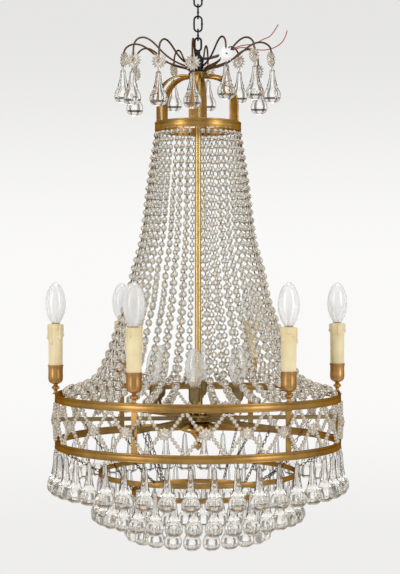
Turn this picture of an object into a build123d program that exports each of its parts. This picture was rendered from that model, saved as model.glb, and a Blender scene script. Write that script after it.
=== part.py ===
from build123d import *
from math import cos, radians, sin, tan
import os

# Crystal chandelier in basket form, hung by its chain. Millimetres, +Z up.
# The origin is the centre of the bore in the hanger's upper eye, and everything hangs below it.
# Angles run from +X towards the front, which is -Y, so the front of the object is at 90 degrees.

# Hanger, a flat forged double eye
hanger_bore = 9.0          # radius of the bore that a ceiling hook goes through
hanger_wall = 5.0
hanger_thickness = 5.0
lower_eye_radius = 6.5
lower_eye_wall = 3.2
eye_spacing = 22.7         # between the centres of the two eyes
eye_play = 1.2             # under the first link's wire, which tilts in the eye as the chain swings

# Chain: links stand in turn along X and along Y
link_wire = 3.2
link_width = 17.0
link_lengths = (27.4, 27.4, 30.0, 22.0)
link_play = 0.5            # clearance between the wires of two links
link_corner = 0.58         # bevel at a link's ends, as a share of half its width

# Stem with its loop and the boss that the supply cable leaves
loop_wire = 3.6
loop_width = 15.0
loop_length = 26.0
boss_radius = 10.0
boss_height = 31.0
boss_shoulder = 7.0        # height of the cone from the boss up to its neck
neck_radius = 4.0
neck_height = 6.0
loop_seat = 1.0            # of the loop's wire in the neck
neck_seat = 2.0            # of the neck in the loop

# Crown hub, straps and upper ring
hub_radius = 17.0
hub_height = 10.0
hub_sides = 12
strap_count = 6
strap_phase = 96.5
strap_width = 15.0
strap_thickness = 3.0
strap_bend = 48.0          # outer radius of the bend at the shoulder
strap_rise = 84.0          # from the upper ring's top to the strap's upper face
strap_seat = 6.0           # of that face below the hub's top
strap_play = 0.4           # between a strap's foot and the outside of the upper ring
strap_turns = (0, 30, 60, 90)
upper_ring_radius = 76.0
upper_ring_wall = 4.0
upper_ring_height = 15.0
rim_height = 2.4           # moulded rims of the upper ring and the bands
rim_step = 1.0
ring_sides = 36

# Crown wires, each bent by hand: its angle, how much higher it carries its drop, and its crest over the hub
crown_wires = ((12, -4, 44), (43, -7, 43), (69, -11, 39), (94, -27, 34), (120, -21, 36), (148, -13, 46),
               (180, 0, 45), (210, -14, 47), (250, 1, 52), (278, 2, 61), (305, 14, 56), (327, -11, 46))
wire_size = 2.9
wire_foot = 13.0           # radius at which the wires stand on the hub
wire_spread = 22.0         # radius at which they leave the hub, and their height there
wire_spread_rise = 9.0
wire_knee = 62.0           # radius where they start to rise to the crest
wire_knee_share = 0.4      # of the crest's height that they have there
wire_crest = 105.0         # radius of the crest
wire_shoulders = ((-8, -1, 30), (10, -5, -50))      # each side of the crest: out, up and the wire's slope
wire_end_rise = 8.0        # their ends above the middle of the rosettes
rosette_reach = 129.0      # radius of the back of the crown rosettes
rosette_rise = 22.5        # their centre above the hub's top
rosette_radius = 14.5
rosette_thickness = 5.0
rosette_face = 0.6         # width of its flat front, as a share of its back

# Glass drops
drop_radius = 15.3
drop_neck = 4.6            # of a tier drop
crown_drop_neck = 6.8      # a crown drop's bulb runs into its neck more gently
drop_tip = 2.0
drop_bulb = ((0, 0.42), (0.9, 1))      # height and radius of the bulb in drop radii, up to its widest place
neck_foot = 2.3            # height of the neck's foot in drop radii
drop_length = 62.0
drop_play = 1.2            # between a crown rosette and the drop that swings below it

# Central rod and basket of bead strands
rod_radius = 5.5
rod_length = 590.0
strand_bends = ((96, 292), (124, 168), (160, 68), (203, 22))   # radius, and height over the band's middle
strand_slopes = (-78, -66, -56, -25)
strand_end = 3.4           # width at its two ends
strand_places = 42
strand_gap = 4             # the place in front of the rod holds no strand
strand_middle = 9.5        # widths of a strand, as its beads grow downwards
strand_bottom = 12.0

# Gallery: two bands joined by uprights
band_radius = 250.0
band_wall = 4.0
band_height = 11.0
band_sides = 48
band_rise = 38.5           # middle of the upper band above the middle of the arms
gallery_height = 80.0      # between the middles of the two bands
light_count = 6
light_phase = 54.0
upright_width = 10.0
upright_set_back = 2.0     # from the outside of the bands
upright_thickness = 2.0
star_count = 24            # small glass stars of the gallery
star_phase = 87.0
star_radius = 10.5
star_thickness = 4.0
star_stand_off = 2.5       # of their backs from the bands
lattice_radius = 1.4
lattice_set_back = 1.2     # of its ends from the outside of the bands
lattice_play = 0.7         # degrees between a string and the next one's, at pins and stars

# Spider arms and lower hub
arm_width = 14.0
arm_thickness = 6.0
spider_apothem = 20.0
spider_height = 11.0
dish_radius = 37.0
dish_depth = 21.0
dish_outline = ((0, 0.38), (0.33, 0.8), (0.57, 1), (0.86, 1), (1, 0.38))      # shares of depth and radius
finial_radius = 13.0
finial_length = 30.0
finial_outline = ((0, 1), (0.5, 0.28), (0.62, 0.46), (0.74, 0.52), (0.88, 0.4), (1, 0.1))

# Outer candles, standing on the upper band over the uprights
cup_height = 50.5
cup_radius = 13.4
cup_outline = ((0, 0.3), (0.22, 0.53), (0.34, 0.3), (0.41, 0.75), (0.5, 0.98), (1, 1))
cup_floor = 26.0           # height of the cup's floor over its foot
sleeve_foot_radius = 11.6
sleeve_play = 0.4          # between sleeve and cup
sleeve_radius = 13.6       # at the rim, where the wax drips swell
sleeve_bore = 9.8
sleeve_length = 95.5
holder_radius = 9.0
holder_bore = 8.0
holder_depth = 16.0
holder_recess = 1.0        # of the holder's rim below the sleeve's
bulb_radius = 17.5
bulb_height = 72.0
bulb_outline = ((0.3, 0.92), (0.52, 1), (0.8, 0.78), (1, 0.25))       # shares of height and radius
bulb_base = 1.0            # of its cap above the holder's rim
bulb_cap = 6.4
cap_play = 0.5             # under the cap

# Inner lamps on curved brackets
inner_phase = 94.0
inner_reach = 82.0
inner_foot = 14.0
inner_rise = 28.0          # cup's underside above the middle of the arms
inner_cup_height = 30.0
inner_cup_radius = 10.5
inner_cup_outline = ((0, 0.43), (0.3, 0.9), (1, 1))
inner_bulb_radius = 15.5
inner_bulb_height = 68.0
bracket_size = 5.0
bracket_bends = ((25, 9, 20), (70, 11, 15))     # radius, height over the spider hub, and the bar's slope

# Hoops under the gallery and their tiers of drops
hoop_wall = 3.0
hoop_height = 8.5
hoop_sides = 36
middle_hoop_radius = 174.0
middle_hoop_drop = 53.0    # below the middle of the lower band
inner_hoop_radius = 116.0
inner_hoop_drop = 86.0
tier_counts = (42, 33, 22)
tier_length = 78.0
chain_radius = 1.3         # of the six chains to each hoop
inner_chain_reach = 200.0  # radius at which the inner hoop's chains leave the arms

# Supply cable: a sheath and two bare-ended leads, with heights over the crown hub's top
sheath_radius = 2.5
sheath_rise = 24.0         # of its outlet in the boss
sheath_run_out = (19, 0, 0)
sheath_lift = (53, 8, 18)
lead_radius = 0.9
lead_spread = 1.1          # of each lead from the sheath's middle
lead_run_out = 14.0        # straight out of the sheath
upper_bends = ((100, 16, 52), (115, 19, 62), (127, 21, 66), (136, 22.5, 78), (142, 24, 88.5))
lower_bends = ((100, 18, 43), (122, 22, 42.5), (143, 25, 51), (155, 27, 65), (158, 28, 79))

# Levels, worked out from the top downwards
lower_eye_level = -eye_spacing
link_top = lower_eye_level - lower_eye_radius + eye_play + link_wire
link_levels = []
for length in link_lengths:
    link_levels.append(link_top)
    link_top = link_top - length + 2 * link_wire + link_play
loop_top = link_top - link_wire + loop_wire
boss_top = loop_top - loop_length + loop_seat
hub_top = boss_top - neck_height - boss_height
hub_bottom = hub_top - hub_height
ring_top = hub_top - strap_seat - strap_rise
ring_bottom = ring_top - upper_ring_height
spider_top = hub_bottom - rod_length
arm_level = spider_top - spider_height / 2
band_level = arm_level + band_rise
band_top = band_level + band_height / 2
band_bottom = band_level - band_height / 2
lower_level = band_level - gallery_height
lower_top = lower_level + band_height / 2
lower_bottom = lower_level - band_height / 2
middle_level = lower_level - middle_hoop_drop
inner_level = lower_level - inner_hoop_drop
spider_bottom = spider_top - spider_height
band_middle = band_radius - band_wall / 2
star_level = (band_bottom + lower_top) / 2
strand_step = 360 / strand_places

os.makedirs("parts", exist_ok=True)


def save(part, name):
    part.label = name
    export_step(part, f"parts/{name}.step")


def flat_loft(sections):
    """A solid with flat faces between the matching corners of its sections."""
    rings = [[edge.position_at(0) for edge in section.outer_wire().order_edges()] for section in sections]
    faces = [Face(Wire.make_polygon(ring)) for ring in (rings[0], rings[-1])]
    for ring, following in zip(rings, rings[1:]):
        for corner, _ in enumerate(ring):
            a, b, c, d = ring[corner - 1], ring[corner], following[corner], following[corner - 1]
            if abs((b - a).cross(c - a).dot(d - a)) < 1e-6:
                faces.append(Face(Wire.make_polygon((a, b, c, d))))
            else:
                faces.append(Face(Wire.make_polygon((a, b, c))))
                faces.append(Face(Wire.make_polygon((a, c, d))))
    return Solid(Shell(faces))


def outlined(start, rise, radius, outline):
    """Heights and radii of a turned form whose outline is in shares of its height and radius."""
    return [(start + share * rise, width * radius) for share, width in outline]


def turned(sides, stations, turn=0.0):
    """A turned form with flat sides, through (height, radius) stations on the Z axis."""
    sections = []
    for height, radius in stations:
        with BuildSketch(Plane.XY.offset(height)) as section:
            RegularPolygon(radius, sides, rotation=turn)
        sections.append(section.sketch.face())
    return flat_loft(sections)


def hoop(radius, wall, height, level, sides, rimmed):
    """A hoop about the Z axis, plain or with a rim above and below its face."""
    low, high = level - height / 2, level + height / 2
    strips = [(low, high, radius)]
    if rimmed:
        strips = [(low, low + rim_height, radius), (low + rim_height, high - rim_height, radius - rim_step),
                  (high - rim_height, high, radius)]
    with BuildPart() as piece:
        for foot, head, outside in strips:
            with BuildSketch(Plane.XY.offset(foot)):
                RegularPolygon(outside, sides)
                RegularPolygon(radius - wall, sides, mode=Mode.SUBTRACT)
            extrude(amount=head - foot)
    return piece.part


def oval_link(width, length, wire, top, plane):
    """An upright link with eight straight sides, its top at the given level."""
    middle = top - length / 2
    with BuildPart() as piece:
        for inset, mode in ((0, Mode.ADD), (wire, Mode.SUBTRACT)):
            with BuildSketch(plane) as outline:
                with Locations((0, middle)):
                    Rectangle(width - 2 * inset, length - 2 * inset)
                chamfer(outline.vertices(), link_corner * (width / 2 - inset))
            extrude(amount=wire / 2, both=True, mode=mode)
    return piece.part


def bent_bar(stations, width=None):
    """A square or flat bar in the XZ plane through (x, z, thickness, angle) stations.

    The angle is the bar's run above +X."""
    sections = []
    for x, z, thickness, angle in stations:
        run = (cos(radians(angle)), 0, sin(radians(angle)))
        with BuildSketch(Plane(origin=(x, 0, z), x_dir=(0, 1, 0), z_dir=run)) as section:
            Rectangle(width or thickness, thickness)
        sections.append(section.sketch.face())
    return flat_loft(sections)


def ringed(piece, radius, count, phase):
    """Copies of a piece round the Z axis, where phase is the first one's angle towards the front."""
    with BuildPart() as group:
        with PolarLocations(radius, count, start_angle=-phase):
            add(piece)
    return group.part


def placed(piece, angle, lift=0.0):
    """One copy of a piece, turned to its angle towards the front and lifted."""
    with BuildPart() as copy:
        with Locations(Location((0, 0, lift), (0, 0, -angle))):
            add(piece)
    return copy.part


# Suspension
with BuildPart() as hanger:
    with BuildSketch(Plane.YZ):
        RegularPolygon(hanger_bore + hanger_wall, 12, rotation=15)
        with Locations((0, lower_eye_level)):
            RegularPolygon(lower_eye_radius + lower_eye_wall, 8, rotation=22.5, major_radius=False)
        make_hull()
        Circle(hanger_bore, mode=Mode.SUBTRACT)
        with Locations((0, lower_eye_level)):
            RegularPolygon(lower_eye_radius, 8, rotation=22.5, major_radius=False, mode=Mode.SUBTRACT)
    extrude(amount=hanger_thickness / 2, both=True)
save(hanger.part, "ceiling_hanger")

with BuildPart() as chain:
    for number, (length, top) in enumerate(zip(link_lengths, link_levels)):
        add(oval_link(link_width, length, link_wire, top, (Plane.XZ, Plane.YZ)[number % 2]))
save(chain.part, "suspension_chain")

with BuildPart() as stem:
    add(oval_link(loop_width, loop_length, loop_wire, loop_top, Plane.XZ))
    add(turned(8, ((hub_top, boss_radius), (hub_top + boss_height - boss_shoulder, boss_radius),
                   (hub_top + boss_height, neck_radius), (boss_top + neck_seat, neck_radius)), turn=22.5))
save(stem.part, "stem_loop")

# Crown
half_side = 180 / hub_sides
hub = turned(hub_sides, ((hub_bottom, hub_radius), (hub_top, hub_radius)), turn=half_side - strap_phase)
save(hub, "crown_hub")

ring_level = (ring_top + ring_bottom) / 2
save(hoop(upper_ring_radius, upper_ring_wall, upper_ring_height, ring_level, ring_sides, True), "upper_ring")

strap_middle = upper_ring_radius - strap_play - strap_thickness / 2
strap_top = ring_top + strap_rise - strap_thickness / 2
bend_middle = strap_bend - strap_thickness / 2
strap_stations = [(strap_middle, ring_top, strap_thickness, 90)]
for turn in strap_turns:
    strap_stations.append((strap_middle - bend_middle * (1 - cos(radians(turn))),
                           strap_top - bend_middle * (1 - sin(radians(turn))), strap_thickness, 90 + turn))
strap_stations.append((hub_radius * cos(radians(half_side)), strap_top, strap_thickness, 180))
save(ringed(bent_bar(strap_stations, strap_width), 0, strap_count, strap_phase), "crown_straps")

with BuildPart() as wires:
    for angle, lift, crest in crown_wires:
        wire_stations = [(wire_foot, hub_top, wire_size, 90),
                         (wire_spread, hub_top + wire_spread_rise, wire_size, 30),
                         (wire_knee, hub_top + wire_knee_share * crest, wire_size, 35)]
        for out, up, slope in wire_shoulders:
            wire_stations.append((wire_crest + out, hub_top + crest + up, wire_size, slope))
        wire_end = hub_top + rosette_rise + lift + wire_end_rise
        wire_stations.append((rosette_reach, wire_end, wire_size, 0))
        add(placed(bent_bar(wire_stations), angle))
save(wires.part, "crown_wires")


def star(back, middle, sides, depths):
    """A pressed glass star facing +X, through (depth, radius) stations in front of its back."""
    sections = []
    for depth, radius in depths:
        with BuildSketch(Plane.YZ.offset(back + depth)) as section:
            with Locations((0, middle)):
                RegularPolygon(radius, sides)
        sections.append(section.sketch.face())
    return flat_loft(sections)


rosette = star(rosette_reach, hub_top + rosette_rise, 6,
               ((0, rosette_radius), (rosette_thickness, rosette_face * rosette_radius)))
with BuildPart() as crown_rosettes:
    for angle, lift, _ in crown_wires:
        add(placed(rosette, angle, lift))
save(crown_rosettes.part, "crown_rosettes")


def drop_stations(top, length, neck):
    """Heights and radii of a glass drop with a slender neck and a full bulb."""
    bottom = top - length
    bulb_stations = outlined(bottom, drop_radius, drop_radius, drop_bulb)
    return [*bulb_stations, (bottom + neck_foot * drop_radius, neck), (top, drop_tip)]


drop_top = hub_top + rosette_rise - rosette_radius * cos(radians(30)) - drop_play
crown_drop = turned(6, drop_stations(drop_top, drop_length, crown_drop_neck))
crown_reach = rosette_reach + rosette_thickness / 2
for number, (angle, lift, _) in enumerate(crown_wires, start=1):
    with BuildPart() as hung:
        with Locations(Location((crown_reach * cos(radians(angle)), -crown_reach * sin(radians(angle)), lift),
                                (0, 0, -angle))):
            add(crown_drop)
    save(hung.part, f"crown_drop_{number:02d}")

# Rod and basket
with BuildPart() as rod:
    with BuildSketch(Plane.XY.offset(spider_top)):
        Circle(rod_radius)
    extrude(amount=rod_length)
save(rod.part, "central_rod")

strand_stations = [(upper_ring_radius - upper_ring_wall / 2, ring_bottom, strand_end, -90)]
for (radius, rise), slope in zip(strand_bends, strand_slopes):
    width = strand_middle if rise > strand_bends[-2][1] else strand_bottom
    strand_stations.append((radius, band_level + rise, width, slope))
strand_stations.append((band_middle, band_top, strand_end, -90))
strand = bent_bar(strand_stations)
with BuildPart() as strands:
    for place in range(strand_places):
        if place != strand_gap:
            add(placed(strand, light_phase + (place + 0.5) * strand_step))
save(strands.part, "bead_strands")

# Gallery
save(hoop(band_radius, band_wall, band_height, band_level, band_sides, True), "main_band_upper")
save(hoop(band_radius, band_wall, band_height, lower_level, band_sides, True), "main_band_lower")

upright_outside = band_radius - upright_set_back
with BuildPart() as upright:
    with BuildSketch(Plane.XY.offset(lower_top)):
        with Locations((upright_outside - upright_thickness / 2, 0)):
            Rectangle(upright_thickness, upright_width)
    extrude(amount=band_bottom - lower_top)
save(ringed(upright.part, 0, light_count, light_phase), "gallery_uprights")

star_back = band_radius + star_stand_off
gallery_star = star(star_back, star_level, 6, ((0, star_radius), (star_thickness, 0.5 * star_radius)))
save(ringed(gallery_star, 0, star_count, star_phase), "gallery_stars")

half_star = 180 / star_count
lattice_reach = star_back - lattice_radius
lattice_foot = band_radius - lattice_set_back


def lattice_string(side):
    """One bent string of small beads, from band to band behind a star, to one side of it."""
    sections = []
    for height, radius, swing in ((band_bottom, lattice_foot, half_star - lattice_play),
                                  (star_level, lattice_reach, lattice_play),
                                  (lower_top, lattice_foot, half_star - lattice_play)):
        swung = radians(side * swing)
        with BuildSketch(Plane.XY.offset(height)) as section:
            with Locations((radius * cos(swung), radius * sin(swung))):
                RegularPolygon(lattice_radius, 3, rotation=60)
        sections.append(section.sketch.face())
    return flat_loft(sections)


left_string, right_string = lattice_string(-1), lattice_string(1)
with BuildPart() as lattice:
    add(ringed(left_string, 0, star_count, star_phase))
    add(ringed(right_string, 0, star_count, star_phase))
save(lattice.part, "gallery_lattice")

# Spider arms and lower hub
with BuildPart() as arm:
    with BuildSketch(Plane.YZ.offset(spider_apothem)):
        with Locations((0, arm_level)):
            Rectangle(arm_width, arm_thickness)
    extrude(amount=upright_outside - upright_thickness - spider_apothem)
save(ringed(arm.part, 0, light_count, light_phase), "spider_arms")

spider_radius = spider_apothem / cos(radians(30))
spider = turned(6, ((spider_bottom, spider_radius), (spider_top, spider_radius)), turn=30 - light_phase)
save(spider, "spider_hub")

dish_bottom = spider_bottom - dish_depth
save(turned(12, outlined(spider_bottom, -dish_depth, dish_radius, dish_outline)), "hub_dish")
save(turned(8, outlined(dish_bottom, -finial_length, finial_radius, finial_outline)), "hub_finial")

# Outer candles
cup_top = band_top + cup_height
with BuildPart() as cup:
    add(turned(6, outlined(band_top, cup_height, cup_radius, cup_outline)))
    with BuildSketch(Plane.XY.offset(band_top + cup_floor)):
        RegularPolygon(sleeve_foot_radius + sleeve_play, 6)
    extrude(amount=cup_height, mode=Mode.SUBTRACT)
save(ringed(cup.part, band_middle, light_count, light_phase), "candle_cups")

sleeve_foot = band_top + cup_floor
sleeve_top = sleeve_foot + sleeve_length
with BuildPart() as sleeve:
    add(turned(6, ((sleeve_foot, sleeve_foot_radius), (cup_top, sleeve_foot_radius),
                   (sleeve_top, sleeve_radius))))
    with BuildSketch(Plane.XY.offset(sleeve_foot)):
        RegularPolygon(sleeve_bore, 6)
    extrude(amount=sleeve_length, mode=Mode.SUBTRACT)
save(ringed(sleeve.part, band_middle, light_count, light_phase), "candle_sleeves")


def socket_bore(top):
    """The bore that a lamp holder has for the cap of its bulb."""
    return turned(6, ((top - holder_depth, holder_bore), (top, holder_bore)))


holder_top = sleeve_top - holder_recess
with BuildPart() as holder:
    add(turned(6, ((sleeve_foot, holder_radius), (holder_top, holder_radius))))
    add(socket_bore(holder_top), mode=Mode.SUBTRACT)
save(ringed(holder.part, band_middle, light_count, light_phase), "lamp_holders")


def bulb(rim, radius, height):
    """A candle bulb over a holder's rim, with its cap inside the holder."""
    return turned(6, ((rim - holder_depth + cap_play, bulb_cap), (rim + bulb_base, bulb_cap),
                      *outlined(rim, height, radius, bulb_outline)))


def save_bulbs(piece, radius, phase, name):
    """Each bulb is a piece of its own, because it unscrews by itself."""
    for number in range(light_count):
        angle = radians(phase + number * 360 / light_count)
        with BuildPart() as lamp:
            with Locations((radius * cos(angle), -radius * sin(angle))):
                add(piece)
        save(lamp.part, f"{name}_{number + 1}")


candle_bulb = bulb(holder_top, bulb_radius, bulb_height + holder_recess)
save_bulbs(candle_bulb, band_middle, light_phase, "candle_bulb")

# Inner lamps
inner_foot_level = arm_level + inner_rise
inner_top = inner_foot_level + inner_cup_height
bracket_stations = [(inner_foot, spider_top, bracket_size, 90)]
for bend, rise, slope in bracket_bends:
    bracket_stations.append((bend, spider_top + rise, bracket_size, slope))
bracket_stations.append((inner_reach, inner_foot_level, bracket_size, 90))
save(ringed(bent_bar(bracket_stations), 0, light_count, inner_phase), "inner_brackets")
with BuildPart() as inner_cup:
    add(turned(6, outlined(inner_foot_level, inner_cup_height, inner_cup_radius, inner_cup_outline)))
    add(socket_bore(inner_top), mode=Mode.SUBTRACT)
save(ringed(inner_cup.part, inner_reach, light_count, inner_phase), "inner_cups")
save_bulbs(bulb(inner_top, inner_bulb_radius, inner_bulb_height), inner_reach, inner_phase, "inner_bulb")

# Hoops and tiers
save(hoop(middle_hoop_radius, hoop_wall, hoop_height, middle_level, hoop_sides, False), "middle_hoop")
save(hoop(inner_hoop_radius, hoop_wall, hoop_height, inner_level, hoop_sides, False), "inner_hoop")

hoop_half = hoop_height / 2
tiers = ((band_middle, lower_bottom), (middle_hoop_radius - hoop_wall / 2, middle_level - hoop_half),
         (inner_hoop_radius - hoop_wall / 2, inner_level - hoop_half))
for number, ((radius, top), count) in enumerate(zip(tiers, tier_counts), start=1):
    hung_drop = turned(4, drop_stations(top, tier_length, drop_neck))
    save(ringed(hung_drop, radius, count, light_phase + 180 / count), f"tier_{number}_drops")


def hoop_chain(start, end):
    """One chain from (radius, height) down to (radius, height)."""
    sections = []
    for radius, height in (start, end):
        with BuildSketch(Plane.XY.offset(height)) as section:
            with Locations((radius, 0)):
                RegularPolygon(chain_radius, 4)
        sections.append(section.sketch.face())
    return flat_loft(sections)


middle_chain = hoop_chain((band_middle, lower_bottom),
                          (middle_hoop_radius - hoop_wall / 2, middle_level + hoop_half))
inner_chain = hoop_chain((inner_chain_reach, arm_level - arm_thickness / 2),
                         (inner_hoop_radius - hoop_wall / 2, inner_level + hoop_half))
save(ringed(middle_chain, 0, light_count, light_phase), "middle_hoop_chains")
save(ringed(inner_chain, 0, light_count, light_phase), "inner_hoop_chains")

# Supply cable, from the boss to the bare ends of its leads
outlet = Vector(boss_radius * cos(radians(22.5)), 0, hub_top + sheath_rise)
sheath_points = [outlet, outlet + Vector(*sheath_run_out), outlet + Vector(*sheath_lift)]
sheath_end = sheath_points[-1]
sheath_run = (sheath_points[-1] - sheath_points[-2]).normalized()
lead_offset = sheath_run.cross(Vector(0, 1, 0)).normalized() * lead_spread


def lead_route(offset, bends):
    """A lead's points, straight out of the sheath first and then at heights over the crown hub's top."""
    start = sheath_end + offset
    bent = [Vector(*bend) + Vector(0, 0, hub_top) for bend in bends]
    return [start, start + sheath_run * lead_run_out, *bent]


def cord_tube(points, radius, sides, name):
    """A tube along straight runs joined by tangent arcs, each as large as its runs allow."""
    bends = []
    for before, corner, after in zip(points, points[1:], points[2:]):
        turn = (corner - before).get_angle(after - corner)
        shorter = min((corner - before).length, (after - corner).length)
        bends.append(0.45 * shorter / tan(radians(turn / 2)))
    with BuildPart() as tube:
        with BuildLine() as path:
            FilletPolyline(*points, radius=bends)
        with BuildSketch(Plane(origin=points[0], z_dir=points[1] - points[0])) as section:
            RegularPolygon(radius, sides)
        sweep()
    length = path.wires()[0].length
    expected = section.sketch.area * length
    print(name, "radii", [round(bend, 1) for bend in bends], "length", round(length, 1),
          "volume", round(tube.part.volume, 1), "expected", round(expected, 1))
    save(tube.part, name)


cord_tube(sheath_points, sheath_radius, 6, "supply_sheath")
cord_tube(lead_route(lead_offset, upper_bends), lead_radius, 3, "upper_lead")
cord_tube(lead_route(lead_offset * -1, lower_bends), lead_radius, 3, "lower_lead")
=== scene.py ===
"""Crystal basket chandelier: its glass, metal, wax and cable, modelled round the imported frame."""

import math
import random

import bpy
from bpy.props import FloatProperty, FloatVectorProperty, IntProperty, PointerProperty
from mathutils import Matrix, Vector


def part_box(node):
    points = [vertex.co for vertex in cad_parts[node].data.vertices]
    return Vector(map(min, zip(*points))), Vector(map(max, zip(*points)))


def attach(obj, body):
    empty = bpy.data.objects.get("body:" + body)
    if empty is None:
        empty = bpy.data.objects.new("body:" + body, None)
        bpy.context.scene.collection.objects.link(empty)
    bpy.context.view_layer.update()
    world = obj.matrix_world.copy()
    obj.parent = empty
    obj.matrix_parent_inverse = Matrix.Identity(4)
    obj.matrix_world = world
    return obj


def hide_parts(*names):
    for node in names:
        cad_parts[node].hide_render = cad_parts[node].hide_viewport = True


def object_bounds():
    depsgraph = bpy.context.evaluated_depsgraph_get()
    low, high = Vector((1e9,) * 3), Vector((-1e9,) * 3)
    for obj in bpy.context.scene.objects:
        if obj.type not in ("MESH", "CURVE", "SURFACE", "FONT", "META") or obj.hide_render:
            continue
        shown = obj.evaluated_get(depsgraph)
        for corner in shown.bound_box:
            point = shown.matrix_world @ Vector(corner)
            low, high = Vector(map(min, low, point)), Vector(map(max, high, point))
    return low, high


bl_info = {
    "name": "Crystal Basket Chandelier",
    "version": (1, 0, 0),
    "blender": (4, 5, 0),
    "location": "3D View > Sidebar > Chandelier",
    "description": "Builds a basket chandelier of strung beads and glass drops",
    "category": "Object",
}

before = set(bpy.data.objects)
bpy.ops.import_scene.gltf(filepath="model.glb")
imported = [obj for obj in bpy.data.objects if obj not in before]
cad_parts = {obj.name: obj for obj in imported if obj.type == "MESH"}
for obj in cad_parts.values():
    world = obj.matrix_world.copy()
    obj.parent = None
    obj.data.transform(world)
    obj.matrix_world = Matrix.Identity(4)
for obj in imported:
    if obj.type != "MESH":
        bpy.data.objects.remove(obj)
cad_box = [list(corner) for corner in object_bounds()]

MM = 0.001
QUARTER = math.radians(90)

# Counts and angles of the pieces, as in the frame. Angles run from +X towards the front, which is -Y.
LIGHT_COUNT = 6
LIGHT_PHASE = 54.0
INNER_PHASE = 94.0
STRAP_COUNT = 6
STRAP_PHASE = 96.5
STAR_COUNT = 24
STAR_PHASE = 87.0
STRAND_PLACES = 42
STRAND_GAP = 4
TIER_COUNTS = (42, 33, 22)
WHITE_ROSETTE = 2
# Each crown wire: its angle, how much higher it carries its drop and the height of its crest over the hub,
# both in millimetres, and the twist of its star
CROWN_WIRES = ((12, -4, 44, -24), (43, -7, 43, 0), (69, -11, 39, -8), (94, -27, 34, 0), (120, -21, 36, 12),
               (148, -13, 46, 42), (180, 0, 45, 34), (210, -14, 47, -10), (250, 1, 52, 40), (278, 2, 61, 0),
               (305, 14, 56, 0), (327, -11, 46, 10))
LINK_LENGTHS = (27.4 * MM, 27.4 * MM, 30.0 * MM, 22.0 * MM)
CHAIN_WIRE = 3.2 * MM
CHAIN_PLAY = 0.5 * MM


def foot(node):
    """The lowest level of a node of the frame."""
    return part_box(node)[0].z


def head(node):
    """The highest level of a node of the frame."""
    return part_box(node)[1].z


def reach(node):
    """How far a round node of the frame goes from the axis."""
    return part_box(node)[1].x


HUB_TOP = head("crown_hub")
HUB_BOTTOM = foot("crown_hub")
RING_TOP = head("upper_ring")
RING_BOTTOM = foot("upper_ring")
BAND_TOP = head("main_band_upper")
BAND_BOTTOM = foot("main_band_upper")
BAND_LEVEL = (BAND_TOP + BAND_BOTTOM) / 2
LOWER_TOP = head("main_band_lower")
LOWER_BOTTOM = foot("main_band_lower")
BAND_RADIUS = reach("main_band_upper")
STAR_LEVEL = (BAND_BOTTOM + LOWER_TOP) / 2
RING_RADIUS = reach("upper_ring")
SPIDER_TOP = head("spider_hub")
SPIDER_BOTTOM = foot("spider_hub")
HOLDER_TOP = head("lamp_holders")
INNER_CUP_TOP = head("inner_cups")
LIGHT_REACH = BAND_RADIUS - 2 * MM
INNER_REACH = 82 * MM
CROWN_STAR_REACH = 129 * MM
CROWN_DROP_REACH = 131.5 * MM


# Settings


class CHANDELIER_PG_crystal(bpy.types.PropertyGroup):
    bead_top: FloatProperty(name="Top bead", description="Diameter of the beads under the upper ring",
                            default=8.7 * MM, unit="LENGTH")
    bead_middle: FloatProperty(name="Middle bead", description="Diameter of the beads nearly half way down",
                               default=10.4 * MM, unit="LENGTH")
    bead_bottom: FloatProperty(name="Bottom bead", description="Diameter of the beads at the gallery",
                               default=14.8 * MM, unit="LENGTH")
    bead_gap: FloatProperty(name="Bead gap", description="Wire between two beads of a strand",
                            default=4.4 * MM, unit="LENGTH")
    lattice_bead: FloatProperty(name="Lattice bead", description="Diameter of the small gallery beads",
                                default=7.2 * MM, unit="LENGTH")
    drop_radius: FloatProperty(name="Drop radius", description="Radius of the bulb of a glass drop",
                               default=15.3 * MM, unit="LENGTH")
    drop_neck: FloatProperty(name="Drop neck", description="Radius of the neck of a glass drop",
                             default=4.8 * MM, unit="LENGTH")
    hook_length: FloatProperty(name="Hook", description="Length of the wire link above a drop",
                               default=8.0 * MM, unit="LENGTH")
    tint: FloatVectorProperty(name="Tint", description="Colour of the crystal", subtype="COLOR", size=4,
                              default=(0.99, 0.955, 0.885, 1.0))
    # The colour towards the outline is painted shade: glass is darkened at its rim, standing in for the dark
    # surroundings that the rim refracts.
    edge: FloatVectorProperty(name="Edge", description="Colour of the crystal towards its outline",
                              subtype="COLOR", size=4, default=(0.44, 0.33, 0.165, 1.0))


class CHANDELIER_PG_metal(bpy.types.PropertyGroup):
    rim: FloatProperty(name="Rim", description="Diameter of the rolled rims of the ring and the bands",
                       default=3.4 * MM, unit="LENGTH")
    rim_stand: FloatProperty(name="Rim stand", description="How far the rims stand out from the face",
                             default=0.5 * MM, unit="LENGTH")
    wire: FloatProperty(name="Crown wire", description="Diameter of the bent crown wires",
                        default=3.3 * MM, unit="LENGTH")
    gilt: FloatVectorProperty(name="Gilt", description="Bright gilt of the bands", subtype="COLOR", size=4,
                              default=(0.475, 0.28, 0.085, 1.0))
    gilt_deep: FloatVectorProperty(name="Deep gilt", description="Worn, reddish gilt", subtype="COLOR",
                                   size=4, default=(0.26, 0.14, 0.042, 1.0))
    copper: FloatVectorProperty(name="Copper", description="Coppery lacquer of the cups", subtype="COLOR",
                                size=4, default=(0.60, 0.335, 0.12, 1.0))
    patina: FloatVectorProperty(name="Patina", description="Dark brown patina of wires and arms",
                                subtype="COLOR", size=4, default=(0.175, 0.115, 0.062, 1.0))
    iron: FloatVectorProperty(name="Iron", description="Blackened iron of the chain", subtype="COLOR", size=4,
                              default=(0.05, 0.052, 0.056, 1.0))


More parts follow.
